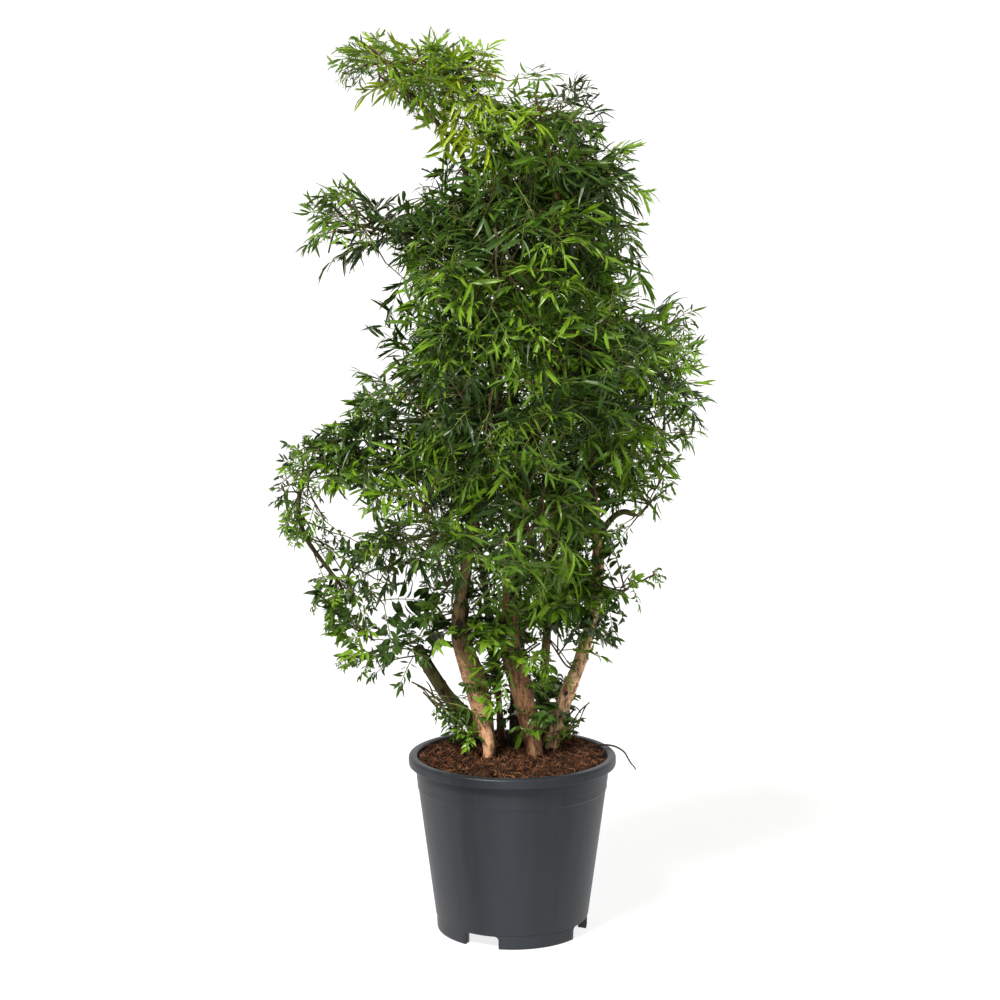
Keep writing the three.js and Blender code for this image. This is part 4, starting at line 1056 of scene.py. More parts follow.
def chance(seed, count):
    # the source's own number from 0 to 1, mixed from the mass's seed and the count and kept to 32 bits
    full = np.uint64(0xffffffff)
    count = np.asarray(count, np.uint64) + np.uint64(1)
    h = np.uint64((seed + 1) * 0x9e3779b1 & 0xffffffff) ^ ((count * np.uint64(0x85ebca6b)) & full)
    for shift, factor in ((15, 0x2c1b3c6d), (12, 0x297a2d39)):
        h = ((h ^ (h >> np.uint64(shift))) * np.uint64(factor)) & full
    h = h ^ (h >> np.uint64(15))
    return h.astype(float) / 2 ** 32


rooms = {}
for name, m in masses.items():
    rooms[name] = {"middle": np.array(m.middle, float), "reach": np.array(m.reach, float), "walls": []}
for name, room in rooms.items():
    for other, neighbour in rooms.items():
        if other == name:
            continue
        away = neighbour["middle"] - room["middle"]
        distance = np.linalg.norm(away)
        away = away / distance
        mine = np.linalg.norm(room["reach"] * away)
        theirs = np.linalg.norm(neighbour["reach"] * away)
        if mine + theirs > distance - 2 * rule["spaceGap"]:
            room["walls"].append((away, distance * mine / (mine + theirs) - rule["spaceGap"]))
crownLow = (np.array(cadLow) - potAxis) / mm
crownHigh = (np.array(cadHigh) - potAxis) / mm
allMiddles = np.array([room["middle"] for room in rooms.values()])
allReaches = np.array([room["reach"] for room in rooms.values()])

sprigs = [
    # small sprigs low on the stems: limb, height, way it grows, length, how big its leaves are
    ("stem_front_left", 398, (0.25, -1, 0.35), 14, 0.42),
    ("stem_front_left", 322, (-0.8, -0.6, 0.3), 10, 0.3),
    ("stem_centre", 352, (0.3, -1, 0.3), 8, 0.26), ("stem_centre", 398, (1, -0.7, 0.2), 12, 0.36),
    ("stem_centre", 446, (1, -0.5, 0.2), 14, 0.42), ("stem_centre", 508, (-0.9, -0.8, 0.1), 16, 0.5),
    ("stem_left", 352, (-0.2, -1, 0.4), 12, 0.34), ("stem_left", 312, (-0.6, -0.9, 0.2), 12, 0.34),
    ("stem_right", 478, (0.9, -0.6, 0.3), 12, 0.3), ("stem_right", 318, (1, -0.2, 0.5), 10, 0.3),
    ("stem_thin", 400, (-0.5, -1, 0.3), 14, 0.4), ("stem_back_right", 350, (0.4, 1, 0.3), 16, 0.45),
    ("stem_back", 360, (-0.4, 1, 0.3), 16, 0.45), ("stem_tuft", 400, (-1, 0.5, 0.3), 16, 0.45),
    ("stem_right", 552, (-1, -0.5, 0.1), 26, 0.75), ("stem_right", 596, (-0.9, -0.7, 0), 22, 0.6),
    ("stem_centre", 560, (1, -0.6, 0.1), 26, 0.7), ("stem_front_left", 528, (-1, -0.4, 0.2), 22, 0.6),
    ("stem_back_right", 1158, (0.1, -0.2, 1), 50, 0.7),
]
sprigReach = 95  # of the room round a sprig, for leaves of full size
sprigMargin = 16
sprigShoots = []
for name, height, way, length, size in sprigs:
    spot, radius, limbWay = limbAt(limbs[name], height)
    way = unit(np.array(way, float))
    root = spot + unit(way - limbWay * (way @ limbWay)) * radius * 0.9
    sprigShoots.append((root, way, length, size))
    allMiddles = np.concatenate([allMiddles, [root + way * length]])
    allReaches = np.concatenate([allReaches, [np.full(3, sprigMargin + sprigReach * size)]])


def inGap(points, spaces=gaps):
    # seen from the front, inside an ellipse: (across / half width)^2 + (up / half height)^2 < 1
    inside = np.zeros(points.shape[:-1], bool)
    for x, z, wide, high in spaces.values():
        inside |= ((points[..., 0] - x) / wide) ** 2 + ((points[..., 2] - z) / high) ** 2 < 1
    return inside


def holds(room, points):
    # inside the mass's ellipsoid, over the pot, out of the gaps and on its own side of every wall
    offset = points - room["middle"]
    inside = (np.sum((offset / room["reach"]) ** 2, -1) <= 1) & (points[..., 2] >= rule["lowestLeaf"])
    inside &= ~inGap(points)
    for normal, limit in room["walls"]:
        inside &= offset @ normal < limit
    return inside


def crownHolds(points, ease):
    # inside any mass's ellipsoid, grown by the share ease, out of the gaps and within the part's own box
    offset = (points[..., None, :] - allMiddles) / (allReaches * ease)
    inside = np.any(np.sum(offset ** 2, -1) <= 1, -1) & (points[..., 2] >= rule["lowestLeaf"])
    inside &= ~inGap(points) & ~inGap(points, skies)
    return inside & np.all((points > crownLow) & (points < crownHigh), -1)


def largest(fits, count, most):
    # the greatest length that fits, by halving
    near = np.zeros(count)
    far = np.full(count, float(most))
    for _ in range(14):
        half = (near + far) / 2
        inside = fits(half[:, None])
        near = np.where(inside, half, near)
        far = np.where(inside, far, half)
    return near


def reachIn(test, start, direction, most):
    # how far a line stays inside
    return largest(lambda length: test(start + direction * length), len(start), most)


def reachAlong(room, start, direction, most):
    # how far a line stays in a mass's room
    return reachIn(lambda p: holds(room, p), start[None], direction[None], most)[0]


def bezier(a, b, c, steps):
    # a * (1 - t)^2 + 2 * b * t * (1 - t) + c * t^2
    t = np.linspace(0, 1, steps + 1)[:, None]
    return a * (1 - t) ** 2 + 2 * b * t * (1 - t) + c * t ** 2


steps = np.arange(rule["boughSteps"] + 1)
for name, m in masses.items():
    if m.rise is not None:
        room = rooms[name]
        spot, radius, _ = limbAt(limbs[m.limb], m.height)
        inward = unit(spot - room["middle"])
        inside = reachAlong(room, room["middle"], inward, rule["farthest"])
        tip = room["middle"] + inward * inside * rule["boughInto"]
        bend = (spot + tip) / 2 + up * m.rise
        foot = min(rule["boughFoot"], radius * rule["boughOfStem"])
        limbs["bough_" + name] = {
            "points": bezier(spot, bend, tip, rule["boughSteps"]),
            "radii": foot + (rule["boughTip"] - foot) * steps / rule["boughSteps"],
        }

boughParts = []
boughNodes = [name for name in limbs if name.startswith("bough")]
boughBark = dict(bark, sides=14, scarEvery=26.0, scar=0.6, ringStep=4.0)
for i, name in enumerate(n for n in boughNodes if "arch" not in n):
    line, radii = limbs[name]["points"], limbs[name]["radii"]
    boughParts.append(barkedLimb(line, radii[0], radii[-1], 1, 0, 70 + i, boughBark))
wholeArch = np.array(archRise + archFall[1:], float)
boughParts.append(barkedLimb(wholeArch, 5.5, 3.0, 1, 0, 90, boughBark))
points, sets = join(boughParts)
piece = buildPiece("barkedBoughs", points, sets, [barkMaterials["twigBark"]])
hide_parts(*boughNodes)
print("boughs barked:", len(boughNodes))

# Twigs by the source's rule, then finer shoots

pieceA = np.concatenate([limb["points"][:-1] for limb in limbs.values()])
pieceB = np.concatenate([limb["points"][1:] for limb in limbs.values()])
pieceR = np.concatenate([np.maximum(limb["radii"][:-1], limb["radii"][1:]) for limb in limbs.values()])


def clearOfLimbs(a, b, thickness):
    # least distance from the segment a-b to every straight piece of every limb
    u, v, w = b - a, pieceB - pieceA, a - pieceA
    uu, uv, vv, uw, vw = u @ u, v @ u, np.sum(v * v, -1), w @ u, np.sum(v * w, -1)
    spread = uu * vv - uv * uv
    s = np.clip(np.where(spread > 1e-9, (uv * vw - vv * uw) / np.maximum(spread, 1e-9), 0), 0, 1)
    t = np.clip((uv * s + vw) / vv, 0, 1)
    s = np.clip((uv * t - uw) / uu, 0, 1)
    gap = np.linalg.norm(a + u * s[:, None] - pieceA - v * t[:, None], axis=-1)
    return np.all(gap > pieceR + thickness + rule["limbGap"])


def ballDirection(i, count, turn):
    # one of count directions spread evenly over a ball: even heights, each a golden angle further round
    z = 1 - (2 * i + 1) / count
    angle = i * goldenAngle + turn
    flat = np.sqrt(1 - z * z)
    return np.array([np.cos(angle) * flat, np.sin(angle) * flat, z])


def growTwigs(name, m, seed):
    # the stemlet from the limb through the room's middle, then twigs out of it towards even directions
    room = rooms[name]
    limb = limbs[m.limb if m.rise is None else "bough_" + name]
    heart = room["middle"]
    if m.height is None or m.rise is not None:
        along = unit(limb["points"][-1] - limb["points"][-2])
        start = limb["points"][-1] + along * (rule["clearance"] + 0.05)
        lead = start + along * rule["stemletLead"] * 0.8
        thick = limb["radii"][-1]
    else:
        spot, radius, along = limbAt(limb, m.height)
        out = heart - spot
        out = unit(out - along * (out @ along))
        start = spot + out * radius * 0.4
        lead = spot + out * (radius + rule["stemletLead"])
        thick = min(radius * rule["stemletOfStem"], rule["stemletMost"])
    onward = unit(heart - lead)
    end = heart + onward * reachAlong(room, heart, onward, rule["farthest"]) * rule["stemletBeyond"]
    x, y, z = room["reach"]
    span = (x * y + y * z + x * z) / 3
    wanted = np.floor(span * m.full / rule["leafArea"] + 0.5)
    wanted = int(np.clip(wanted, rule["fewestLeaves"], rule["mostLeaves"]))
    twigCount = rule["coreTwigs"]
    if m.core is None:
        twigCount = max(rule["fewestTwigs"], int(np.floor(wanted / rule["leavesPerTwig"] + 0.5)))
    turn = float(chance(seed, 0)) * 2 * np.pi
    count = 1
    twigs = []
    for i in range(twigCount):
        direction = ballDirection(i, twigCount, turn)
        a = lead + (end - lead) * (0.15 + 0.8 * (i + 0.5) / twigCount)
        goal = heart + direction * reachAlong(room, heart, direction, rule["farthest"]) * rule["twigShare"]
        for attempt in range(rule["twigTries"]):
            b = goal.copy()
            if attempt > 0:
                b += (chance(seed, count + np.arange(3)) - 0.5) * rule["twigWander"]
                count += 3
            clear = holds(room, b) and holds(room, a) and clearOfLimbs(a, b, rule["twigRadius"])
            if clear and np.linalg.norm(a - b) > rule["twigShortest"]:
                twigs.append((a, b))
                break
    return start, lead, end, thick, twigs, wanted, count


shoots = {
    "perLeaf": 0.80,  # shoots for each leaf that the source's rule wants
    "tries": 12, "first": 0.25, "bendLeast": 0.35, "bendMost": 1.45, "droop": 0.35,
    "length": (38, 82), "lengthOnce": (28, 54), "shortest": 0.45, "farthest": 200, "ofWay": 0.6,
    "spread": 60.0, "spreadWeight": 1.3, "leafCentre": 1.4, "ease": 0.98,
    "coreGain": 1.25, "coreOut": 1.25, "coreTurns": 61.0,  # of the masses with a core
    "tipLength": 22, "tipSize": 0.66,  # of the shoots at the twigs' ends in the masses of plain leaves
    "tipGap": 30, "rootGap": 9,  # how near a twig's end its leaf is, and how near a twig its shoot's root
    "bareMost": 0.55, "bareLength": 40,
    "leaves": (3, 5), "firstLeaf": 0.3, "turnWander": 0.3,  # along the shoot and round it
    "opening": 1.15, "openingFall": 0.75, "openingWander": 0.18,  # of its leaves, in radians
    "sag": (0.05, 0.2), "radius": (1.7, 1.1), "feederRadius": (1.8, 1.2), "feederBow": 0.16, "bow": 10,
}


def growShoots(name, m, seed, made, grown, s):
    # each shoot is the best of some draws, scored by length, distance from the others and distance outward,
    # as the source picks its leaves
    _, lead, end, _, twigs, wanted, count = made
    room = rooms[name]
    lines = [(lead, end)] + twigs
    if m.sprouts:
        limb = limbs[m.limb if m.rise is None else "bough_" + name]["points"]
        pairs = [(a, b) for a, b in zip(limb[:-1], limb[1:]) if holds(room, (a + b) / 2)]
        lines = pairs * 2 + lines
    feeders, found = [], []
    gain = s["coreGain"] if m.core is not None else 1
    total = int(round(wanted / m.full * s["perLeaf"] * m.dense * gain))
    for i in range(total):
        tries = np.arange(s["tries"])
        draw = chance(seed, count + 6 * tries[:, None] + np.arange(6)[None])
        count += 6 * s["tries"]
        pick = (i + tries // 3) % len(lines)
        a = np.array([lines[p][0] for p in pick])
        b = np.array([lines[p][1] for p in pick])
        share = np.minimum(s["first"] + (1 - s["first"]) * draw[:, 0], 0.97)[:, None]
        spot = a + (b - a) * share
        fromCore = (m.core is not None) & ((i + tries) % 3 > 0)
        if m.core is not None:
            z = 1 - 2 * draw[:, 0]
            turn = draw[:, 1] * s["coreTurns"]
            flat = np.sqrt(1 - z * z)
            ball = np.stack([np.cos(turn) * flat, np.sin(turn) * flat, z], -1)
            shell = room["middle"] + ball * room["reach"] * m.core * rule["coreDepth"] * s["coreOut"]
            spot = np.where(fromCore[:, None], shell, spot)
            b = np.where(fromCore[:, None], shell + ball, b)
            a = np.where(fromCore[:, None], shell, a)
        axis = unit(b - a)
        level = unit(np.cross(axis, askew))
        rise = np.cross(level, axis)
        around = draw[:, 1] * 2 * np.pi
        bend = s["bendLeast"] + (s["bendMost"] - s["bendLeast"]) * draw[:, 2]
        along = axis * np.cos(bend)[:, None] + level * (np.sin(bend) * np.cos(around))[:, None]
        along = along + rise * (np.sin(bend) * np.sin(around))[:, None]
        along = unit(along - up * (s["droop"] * draw[:, 3])[:, None])
        low, high = s["length"] if leafForms[m.form]["twice"] else s["lengthOnce"]
        far = reachIn(lambda p: crownHolds(p, s["ease"]), spot, along, s["farthest"])
        length = np.minimum(low + (high - low) * draw[:, 4], far * s["ofWay"])
        centre = spot + along * (length * s["leafCentre"])[:, None]
        outward = np.linalg.norm((centre - room["middle"]) / room["reach"], axis=-1)
        near = np.ones(len(tries))
        if grown:
            apart = np.linalg.norm(np.array(grown)[None] - centre[:, None], axis=-1)
            near = np.minimum(1, apart.min(-1) / s["spread"])
        score = length / high + s["spreadWeight"] * near + outward
        score[(length < low * s["shortest"]) | ~crownHolds(spot, 1)] = -1
        best = int(np.argmax(score))
        if score[best] < 0:
            continue
        grown.append(centre[best])
        found.append((spot[best], along[best], length[best]))
        if fromCore[best]:
            root = lead + (end - lead) * (0.2 + 0.7 * draw[best, 5])
            feeders.append((root, spot[best]))
    return found, feeders


leafForms = {
    # width of a leaflet as a share of its length, size of the leaf, share of toothed leaflets, a leaflet's
    # share of the leaf, whether side stalks carry leaflets of their own, radius of the mass's own stem
    "narrow": {"width": 0.138, "size": 1.0, "toothed": 0.35, "leaflet": 0.36, "twice": True, "stemlet": 2.4},
    "cut": {"width": 0.16, "size": 1.08, "toothed": 0.5, "leaflet": 0.38, "twice": True, "stemlet": 2.2},
    "tuft": {"width": 0.135, "size": 0.96, "toothed": 0.6, "leaflet": 0.35, "twice": True, "stemlet": 1.8},
    "small": {"width": 0.27, "size": 0.86, "toothed": 0.15, "leaflet": 0.30, "twice": False, "stemlet": 1.4},
    "oval": {"width": 0.40, "size": 1.08, "toothed": 0, "leaflet": 0.29, "twice": False, "stemlet": 1.2},
}
grown, allShoots = [], []
stemletPaths, stemletRadii, twigPaths, twigRadii = [], [], [], []
for index, (name, m) in enumerate(masses.items()):
    seed = rule["firstSeed"] + 1 + index
    made = growTwigs(name, m, seed)
    start, lead, end, thick, twigs, _, _ = made
    found, feeders = growShoots(name, m, seed, made, grown, shoots)
    stemletPaths.append(smoothPath([start, lead, (lead + end) / 2 + up * 4, end], 4))
    slim = leafForms[m.form]["stemlet"]
    stemletRadii.append(np.linspace(min(thick, 1.25 * slim), slim, len(stemletPaths[-1])))
    for a, b in twigs:
        if not crownHolds(b, 1):
            continue
        twigPaths.append(bezier(a, (a + b) / 2 + up * shoots["bow"], b, 6))
        twigRadii.append(np.linspace(slim, 0.6 * slim, 7))
        if not leafForms[m.form]["twice"]:
            found.append((b, unit(b - a), shoots["tipLength"]))
    if not leafForms[m.form]["twice"]:
        found.append((end, unit(end - lead), shoots["tipLength"]))
    for a, b in feeders:
        aside = unit(np.cross(b - a, up)) * shoots["feederBow"] * np.linalg.norm(b - a)
        twigPaths.append(bezier(a, (a + b) / 2 - up * shoots["bow"] + aside, b, 6))
        twigRadii.append(np.linspace(*shoots["feederRadius"], 7))
    allShoots += [(*shoot, index) for shoot in found]
sprigMass = list(masses).index("sprig_base_right")
allShoots += [(root, along, length, sprigMass) for root, along, length, _ in sprigShoots]
shootRoot, shootAlong, shootLength, shootMass = (np.array(column) for column in zip(*allShoots))
massSize = [leafForms[m.form]["size"] * np.clip(min(m.reach) / 80, 0.74, 1) for m in masses.values()]
shootSize = np.where(shootLength == shoots["tipLength"], shoots["tipSize"], 1) * np.array(massSize)[shootMass]
shootSize[-len(sprigShoots):] = [size for _, _, _, size in sprigShoots]
print("shoots:", len(shootRoot))

# Compound leaves

leaf = {
    "length": (96, 165),  # stalk and leaflets together
    "sag": (0.04, 0.42),
    # place on the stalk, side stalk's share of the leaf, opening angle, leaflets of each side stalk
    "twiceNodes": [
        (0.36, 0.30, 60, [(0.42, 0.8), (0.72, 0.9), (1.0, 1.0)]),
        (0.60, 0.20, 52, [(0.5, 0.8), (1.0, 0.98)]),
        (0.80, 0.0, 44, [(1.0, 0.92)]),
        (1.0, 0.0, 32, [(1.0, 0.88)]),
    ],
    "onceNodes": [
        (0.26, 0.03, 62, [(1.0, 0.85)]),
        (0.42, 0.03, 60, [(1.0, 0.95)]),
        (0.58, 0.03, 58, [(1.0, 1.05)]),
        (0.73, 0.02, 54, [(1.0, 1.05)]),
        (0.87, 0.02, 50, [(1.0, 1.0)]),
        (1.0, 0.02, 40, [(1.0, 0.95)]),
    ],
    "farthest": 260,
    "ease": 1.1,  # how far past the rooms a leaf may reach
    "boxEase": 6,  # and past the part's own box
    "sideAt": 0.45, "halfWidth": 0.42,  # where its side stalks end, as shares of its length
    "least": 0.42,  # of the wanted length; a shorter leaf is left out
    "leastOnce": 0.34,  # the same for once divided leaves
    "lift": 0.14, "hang": 0.6, "facingWander": 0.45, "facingAhead": 0.3,
    "stalkRadius": (1.2, 0.6), "sideRadius": (0.72, 0.5),
    "sideStray": 0.02, "openingWander": 0.14, "sideLift": 0.12, "sideDroop": 0.08, "sideReach": (0.8, 1.15),
    "endLeaflet": (0.9, 1.15), "onSide": 0.85, "onStalk": 0.9,  # sizes of leaflets
    "pairAhead": 0.72, "pairAside": 0.69,  # how a pair opens
    "leafletLength": (0.78, 1.2), "leafletWidth": (0.85, 1.2),
    "wander": 0.26, "roll": 0.55, "curl": (0.0, 0.6), "bow": 0.19,
}


def shootLeaves(count, s):
    # places of the compound leaves round each shoot: spiral steps from its middle to its tip
    low, high = s["leaves"]
    number = rng.integers(low, high + 1, count)
    slot = np.arange(high)[None].repeat(count, 0)
    keep = slot < number[:, None]
    share = s["firstLeaf"] + (1 - s["firstLeaf"]) * (slot / np.maximum(number[:, None] - 1, 1))
    turn = rng.uniform(0, 2 * np.pi, (count, 1)) + slot * goldenAngle
    turn = turn + rng.normal(0, s["turnWander"], slot.shape)
    bend = s["opening"] - s["openingFall"] * share + rng.normal(0, s["openingWander"], slot.shape)
    return keep, np.clip(share, 0, 1), turn, bend


keep, share, turn, bend = shootLeaves(len(shootRoot), shoots)
sagging = rng.uniform(*shoots["sag"], len(shootRoot))
level = unit(np.cross(shootAlong, askew))
rise = np.cross(level, shootAlong)
base = shootRoot[:, None] + shootAlong[:, None] * (share * shootLength[:, None])[..., None]
base = base - up * (sagging[:, None] * shootLength[:, None] * share ** 2)[..., None]
way = shootAlong[:, None] * np.cos(bend)[..., None]
way = way + level[:, None] * (np.sin(bend) * np.cos(turn))[..., None]
way = unit(way + rise[:, None] * (np.sin(bend) * np.sin(turn))[..., None])
leafMass = shootMass[:, None].repeat(keep.shape[1], 1)[keep]
leafShoot = np.arange(len(shootRoot))[:, None].repeat(keep.shape[1], 1)[keep]
base, way = base[keep], unit(way[keep] + up * leaf["lift"])
wantedLength = rng.uniform(*leaf["length"], len(base)) * shootSize[leafShoot]
leafSag = rng.uniform(*leaf["sag"], len(base))
leafFacing = unit(up + rng.normal(0, leaf["facingWander"], (len(base), 3)) + way * leaf["facingAhead"])
leafWay = way - up * (leaf["hang"] * leafSag)[:, None]
leafSide = unit(np.cross(way, leafFacing))


def leafFits(length):
    # the tip and both side stalks' ends, at their shares of the leaf's length
    inside = crownHolds(base + leafWay * length, leaf["ease"])
    for hand in (-1, 1):
        aside = leafSide * (hand * leaf["halfWidth"] * length)
        inside &= crownHolds(base + leafWay * leaf["sideAt"] * length + aside, leaf["ease"])
    return inside


def ofForm(key):
    # a value of each leaf's form
    return np.array([leafForms[m.form][key] for m in masses.values()])[leafMass]


leafLength = np.minimum(wantedLength, largest(leafFits, len(base), leaf["farthest"]))
least = np.where(ofForm("twice"), leaf["least"], leaf["leastOnce"])
good = leafLength > least * wantedLength
# a shoot that would carry a single leaf, or be bare for most of a long way, carries none
firstLeaf = np.ones(len(shootRoot))
np.minimum.at(firstLeaf, leafShoot[good], share[keep][good])
bare = (firstLeaf > shoots["bareMost"]) & (shootLength > shoots["bareLength"])
good &= ((np.bincount(leafShoot[good], minlength=len(shootRoot)) > 1) & ~bare)[leafShoot]
base, way, leafLength, leafSag, leafFacing, leafMass, leafShoot = (
    values[good] for values in (base, way, leafLength, leafSag, leafFacing, leafMass, leafShoot))
print("compound leaves:", len(base))
# a shoot without leaves is left out, and so is a twig that carries no shoot and ends in no leaf
leafyShoot = np.isin(np.arange(len(shootRoot)), leafShoot)
twigPaths = np.array(twigPaths)
tipGap = np.linalg.norm(twigPaths[:, -1, None] - base[None], axis=-1).min(-1)
twigWay = twigPaths[:, -1] - twigPaths[:, 0]
fromFoot = shootRoot[leafyShoot][None] - twigPaths[:, :1]
along = np.sum(fromFoot * twigWay[:, None], -1) / np.sum(twigWay ** 2, -1, keepdims=True)
rootGap = np.linalg.norm(fromFoot - twigWay[:, None] * np.clip(along, 0, 1)[..., None], axis=-1).min(-1)
leafyTwig = (tipGap < shoots["tipGap"]) | (rootGap < shoots["rootGap"])
print("twigs:", leafyTwig.sum(), "of", len(leafyTwig), "shoots:", leafyShoot.sum(), "of", len(leafyShoot))


def blades(root, along, face, length, width, curl, bow, toothed):
    # a folded blade: root + along * length * t + side * (width * outline(t) + bow * length * t * t)
    # + face * (fold at the edges - curl * length * t * t); a toothed one has forward teeth at its edges
    count = len(root)
    rows = np.array([0.2, 0.5, 0.78])
    swell = np.array([0.78, 1.0, 0.64])
    t = np.concatenate([[0], np.repeat(rows, 3), [1.0]])
    a = np.concatenate([[0], (swell[:, None] * np.array([-0.5, 0, 0.5])).ravel(), [0]])
    faces3 = [[0, 3, 2], [0, 2, 1], [7, 8, 10], [8, 9, 10]]
    faces4 = [[i + k, i + k + 1, i + k + 4, i + k + 3] for i in (1, 4) for k in (0, 1)]
    if toothed:
        t = np.concatenate([t, [0.66, 0.58, 0.94, 0.88]])
        a = np.concatenate([a, np.array([-1.9, 1.8, -1.45, 1.5]) * 0.5])
        faces3 = faces3 + [[1, 4, 11], [6, 3, 12], [4, 7, 13], [9, 6, 14]]
    along, face = unit(along), unit(face)
    side = unit(np.cross(along, face))
    face = np.cross(side, along)
    points = root[:, None] + along[:, None] * (t[None] * length[:, None])[..., None]
    across = a[None] * width[:, None] + bow[:, None] * length[:, None] * t[None] ** 2
    points = points + side[:, None] * across[..., None]
    lift = np.abs(a)[None] * width[:, None] * 0.5 - curl[:, None] * length[:, None] * t[None] ** 2
    points = points + face[:, None] * lift[..., None]
    first = (np.arange(count) * len(t))[:, None, None]
    sets = [(np.array(faces)[None] + first).reshape(-1, len(faces[0])) for faces in (faces3, faces4)]
    return points.reshape(-1, 3), sets


def compoundLeaves(base, way, total, sag, facing, widthShare, toothShare, leafletShare, c, nodes):
    # stalk: base + way * length * s - up * sag * length * s^2; side stalks open from its nodes, and leaflets
    # from both
    count = len(base)
    stalk = total * (1 - leafletShare)
    endLeaflet = total * leafletShare * rng.uniform(*c["endLeaflet"], count)

    def spotAt(s):
        # a place on the stalk
        return base + way * (stalk * s)[:, None] - up * (sag * stalk * s ** 2)[:, None]

    def frameAt(s):
        # the stalk's heading there, the way to its side and the way its upper face looks
        along = unit(way - up * (2 * sag * s)[:, None])
        side = unit(np.cross(along, facing))
        return along, side, np.cross(side, along)

    stalkPaths = np.stack([spotAt(np.full(count, s)) for s in np.linspace(0, 1, 4)], 1)
    stalkRadii = np.linspace(*c["stalkRadius"], 4)[None] * (0.75 + 0.3 * stalk / stalk.max())[:, None]
    sidePaths, leaflets = [], {"root": [], "along": [], "face": [], "length": [], "owner": []}

    def addLeaflet(root, along, face, length):
        # one leaflet on every leaf, each a little off its heading, roll and length
        leaflets["root"].append(root)
        leaflets["along"].append(along + rng.normal(0, c["wander"], (count, 3)))
        leaflets["face"].append(face + rng.normal(0, c["roll"], (count, 3)))
        leaflets["length"].append(length * rng.uniform(*c["leafletLength"], count))
        leaflets["owner"].append(np.arange(count))

    for place, sideShare, opening, members in nodes:
        s = np.full(count, place) + (rng.normal(0, c["sideStray"], count) if place < 1 else 0)
        node = spotAt(s)
        along, side, face = frameAt(s)
        for hand in (-1, 1):
            angle = np.radians(opening) + rng.normal(0, c["openingWander"], count)
            out = along * np.cos(angle)[:, None] + side * (hand * np.sin(angle))[:, None]
            out = unit(out + face * rng.normal(0, c["sideLift"], count)[:, None] - up * c["sideDroop"])
            reach = total * sideShare * rng.uniform(*c["sideReach"], count)
            if sideShare > 0:
                sidePaths.append(np.stack([node, node + out * reach[:, None]], 1))
            spread = unit(np.cross(face, out))
            for at, size in members:
                root = node + out * (reach * at)[:, None]
                length = endLeaflet * size * (c["onSide"] if sideShare > 0 else c["onStalk"])
                if at < 1:
                    for turned in (-1, 1):
                        aside = spread * c["pairAside"] * turned
                        addLeaflet(root, out * c["pairAhead"] + aside, face, length)
                else:
                    addLeaflet(root, out, face, length)
    along, side, face = frameAt(np.ones(count))
    addLeaflet(spotAt(np.ones(count)), along, face, endLeaflet)
    packed = {key: np.concatenate(value) for key, value in leaflets.items()}
    owner, length = packed["owner"], packed["length"]
    packed["width"] = length * widthShare[owner] * rng.uniform(*c["leafletWidth"], len(length))
    packed["curl"] = rng.uniform(*c["curl"], len(length))
    packed["bow"] = rng.normal(0, c["bow"], len(length))
    packed["toothed"] = rng.uniform(0, 1, len(length)) < toothShare[owner]
    return stalkPaths, stalkRadii, np.concatenate(sidePaths), packed


allLeaflets = []
stalkPaths, stalkRadii, stalkOwner, sidePaths, sideOwner = [], [], [], [], []
for twice, nodes in ((True, leaf["twiceNodes"]), (False, leaf["onceNodes"])):
    k = np.nonzero(ofForm("twice") == twice)[0]
    stalks, radii, sides, leaflets = compoundLeaves(
        base[k], way[k], leafLength[k], leafSag[k], leafFacing[k],
        ofForm("width")[k], ofForm("toothed")[k], ofForm("leaflet")[k], leaf, nodes)
    leaflets["owner"] = k[leaflets["owner"]]
    allLeaflets.append(leaflets)
    stalkPaths.append(stalks)
    stalkRadii.append(radii)
    stalkOwner.append(k)
    sidePaths.append(sides)
    sideOwner.append(np.tile(k, len(sides) // len(k)))
packed = {key: np.concatenate([leaflets[key] for leaflets in allLeaflets]) for key in allLeaflets[0]}
# a leaflet that would end outside the part's own box is left out
along = unit(packed["along"])
side = unit(np.cross(along, unit(packed["face"])))
bent = along + side * packed["bow"][:, None] - np.cross(side, along) * packed["curl"][:, None]
tips = packed["root"] + bent * packed["length"][:, None]
inside = np.all((tips > crownLow - leaf["boxEase"]) & (tips < crownHigh + leaf["boxEase"]), -1)
packed = {key: values[inside] for key, values in packed.items()}
stalkPaths, stalkRadii, stalkOwner, sidePaths, sideOwner = (
    np.concatenate(values) for values in (stalkPaths, stalkRadii, stalkOwner, sidePaths, sideOwner))
print("leaflets:", len(packed["length"]))

# Tones: plain greens dealt out by shoot

tones = {
    # shares of deep, dark, mid, fresh, young and pale green
    "dark": (0.30, 0.42, 0.22, 0.06, 0, 0),
    "mid": (0.14, 0.34, 0.34, 0.18, 0, 0),
    "bright": (0.06, 0.20, 0.38, 0.36, 0, 0),
    "olive": (0.10, 0.34, 0.42, 0.14, 0, 0),
    "tuft": (0, 0.06, 0.28, 0.40, 0.22, 0.04),
    "young": (0, 0, 0.06, 0.26, 0.44, 0.24),
}
youngEdge = -22
toneShares = np.cumsum([tones[m.tone] for m in masses.values()], axis=1)
shootDraw = rng.uniform(0, 1, len(shootRoot))
shootTone = np.sum(shootDraw[:, None] > toneShares[shootMass], 1)
leafTone = np.clip(shootTone[leafShoot] + rng.choice([-1, 0, 0, 0, 1], len(leafShoot)), 0, 5)
youngMass = np.array([m.tone in ("tuft", "young") for m in masses.values()])
leafTone = np.where(youngMass[leafMass], leafTone, np.minimum(leafTone, 3))
# the tuft's yellow ends where the dome begins
leafTone = np.where(youngMass[leafMass] & (base[:, 0] > youngEdge), np.clip(leafTone - 2, 0, 2), leafTone)

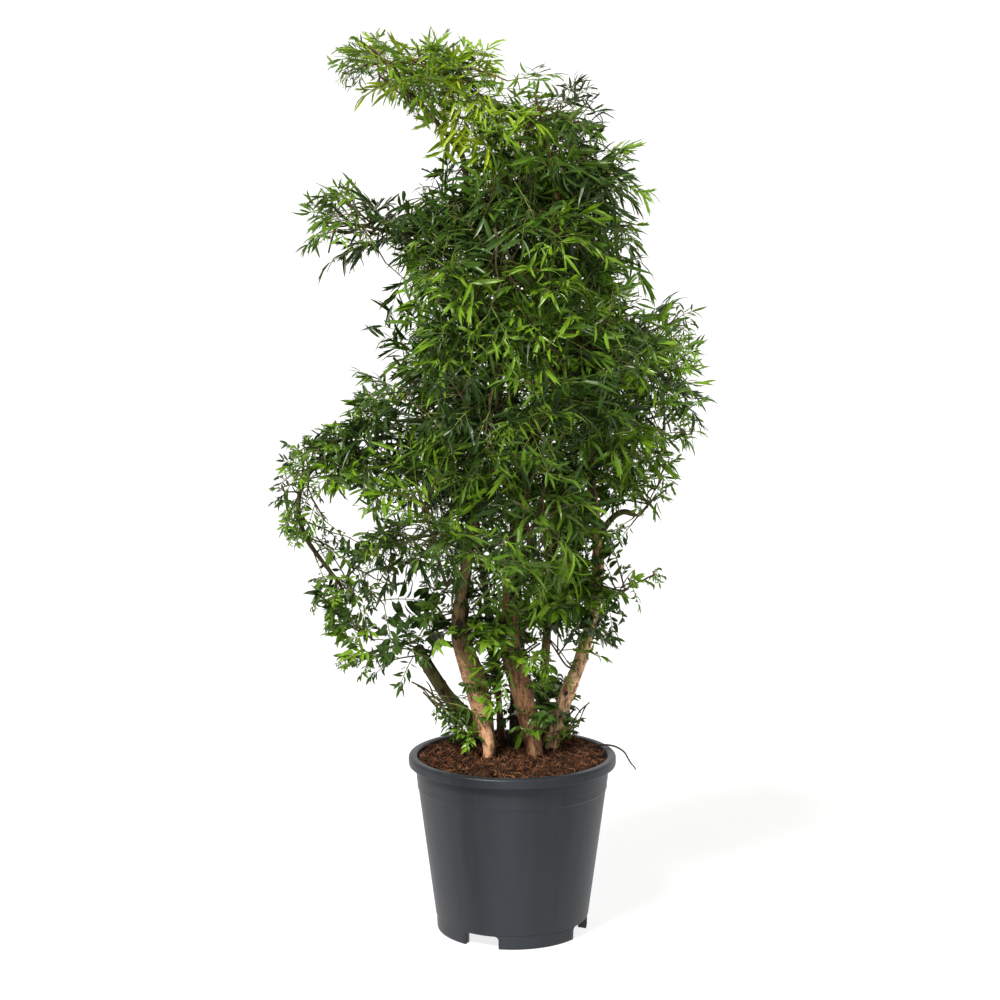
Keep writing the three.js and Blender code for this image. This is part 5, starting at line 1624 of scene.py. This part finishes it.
mostTriangles = 190000  # of one piece
bladeTriangles = (12, 16)  # of a plain and of a toothed leaflet
toothedGain = 0.95  # the width of a toothed leaflet between its teeth
foliageNodes = ["foliage_" + name for name in masses]
firstPiece = True
for toneIndex, toneName in enumerate(greens):
    chosen = np.nonzero(leafTone[packed["owner"]] == toneIndex)[0]
    if not len(chosen):
        continue
    cost = np.array(bladeTriangles)[packed["toothed"][chosen].astype(int)]
    chunk = (np.cumsum(cost) // mostTriangles).astype(int)
    for number in range(chunk[-1] + 1):
        part = chosen[chunk == number]
        halves = []
        for toothed in (False, True):
            k = part[packed["toothed"][part] == toothed]
            if len(k):
                width = packed["width"][k] * (toothedGain if toothed else 1.0)
                root, along, face, length, curl, bow = (
                    packed[key][k] for key in ("root", "along", "face", "length", "curl", "bow"))
                halves.append(blades(root, along, face, length, width, curl, bow, toothed))
        points, sets = join(halves)
        piece = buildPiece(f"{toneName}Spray{number + 1}", points, sets, [leafMaterials[toneName]],
                           smooth=False)
        if firstPiece:
            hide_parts(*foliageNodes)
            firstPiece = False

greenShare = 0.75
greenStalked = (rng.uniform(0, 1, len(base)) < greenShare) | youngMass[leafMass]
for stalkName, chosen in (("greenStalk", greenStalked), ("brownStalk", ~greenStalked)):
    mask = chosen[stalkOwner]
    sideSet = sidePaths[chosen[sideOwner]]
    sideRadii = np.tile(leaf["sideRadius"], (len(sideSet), 1))
    points, sets = join([tubes(stalkPaths[mask], stalkRadii[mask], 3), tubes(sideSet, sideRadii, 3)])
    piece = buildPiece(stalkName + "s", points, sets, [stalkMaterials[stalkName]])


def shootSpot(s):
    # root + way * length * s - up * sag * length * s^2
    ahead = shootRoot + shootAlong * (shootLength * s)[:, None]
    return ahead - up * (sagging * shootLength * s ** 2)[:, None]


shootPaths = np.stack([shootSpot(s) for s in np.linspace(0, 1, 5)], 1)
shootRadii = np.tile(np.linspace(*shoots["radius"], 5), (len(shootRoot), 1))
parts = [tubes(np.array(stemletPaths), np.array(stemletRadii), 7),
         tubes(twigPaths[leafyTwig], np.array(twigRadii)[leafyTwig], 6),
         tubes(shootPaths[leafyShoot], shootRadii[leafyShoot], 5)]
points, sets = join(parts)
piece = buildPiece("twigs", points, sets, [barkMaterials["twigBark"]])
print("foliage made")

# Sizes

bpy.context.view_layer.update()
triangles = {o.name: sum(len(p.vertices) - 2 for p in o.data.polygons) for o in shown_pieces()}
print("triangles:", sum(triangles.values()), triangles)
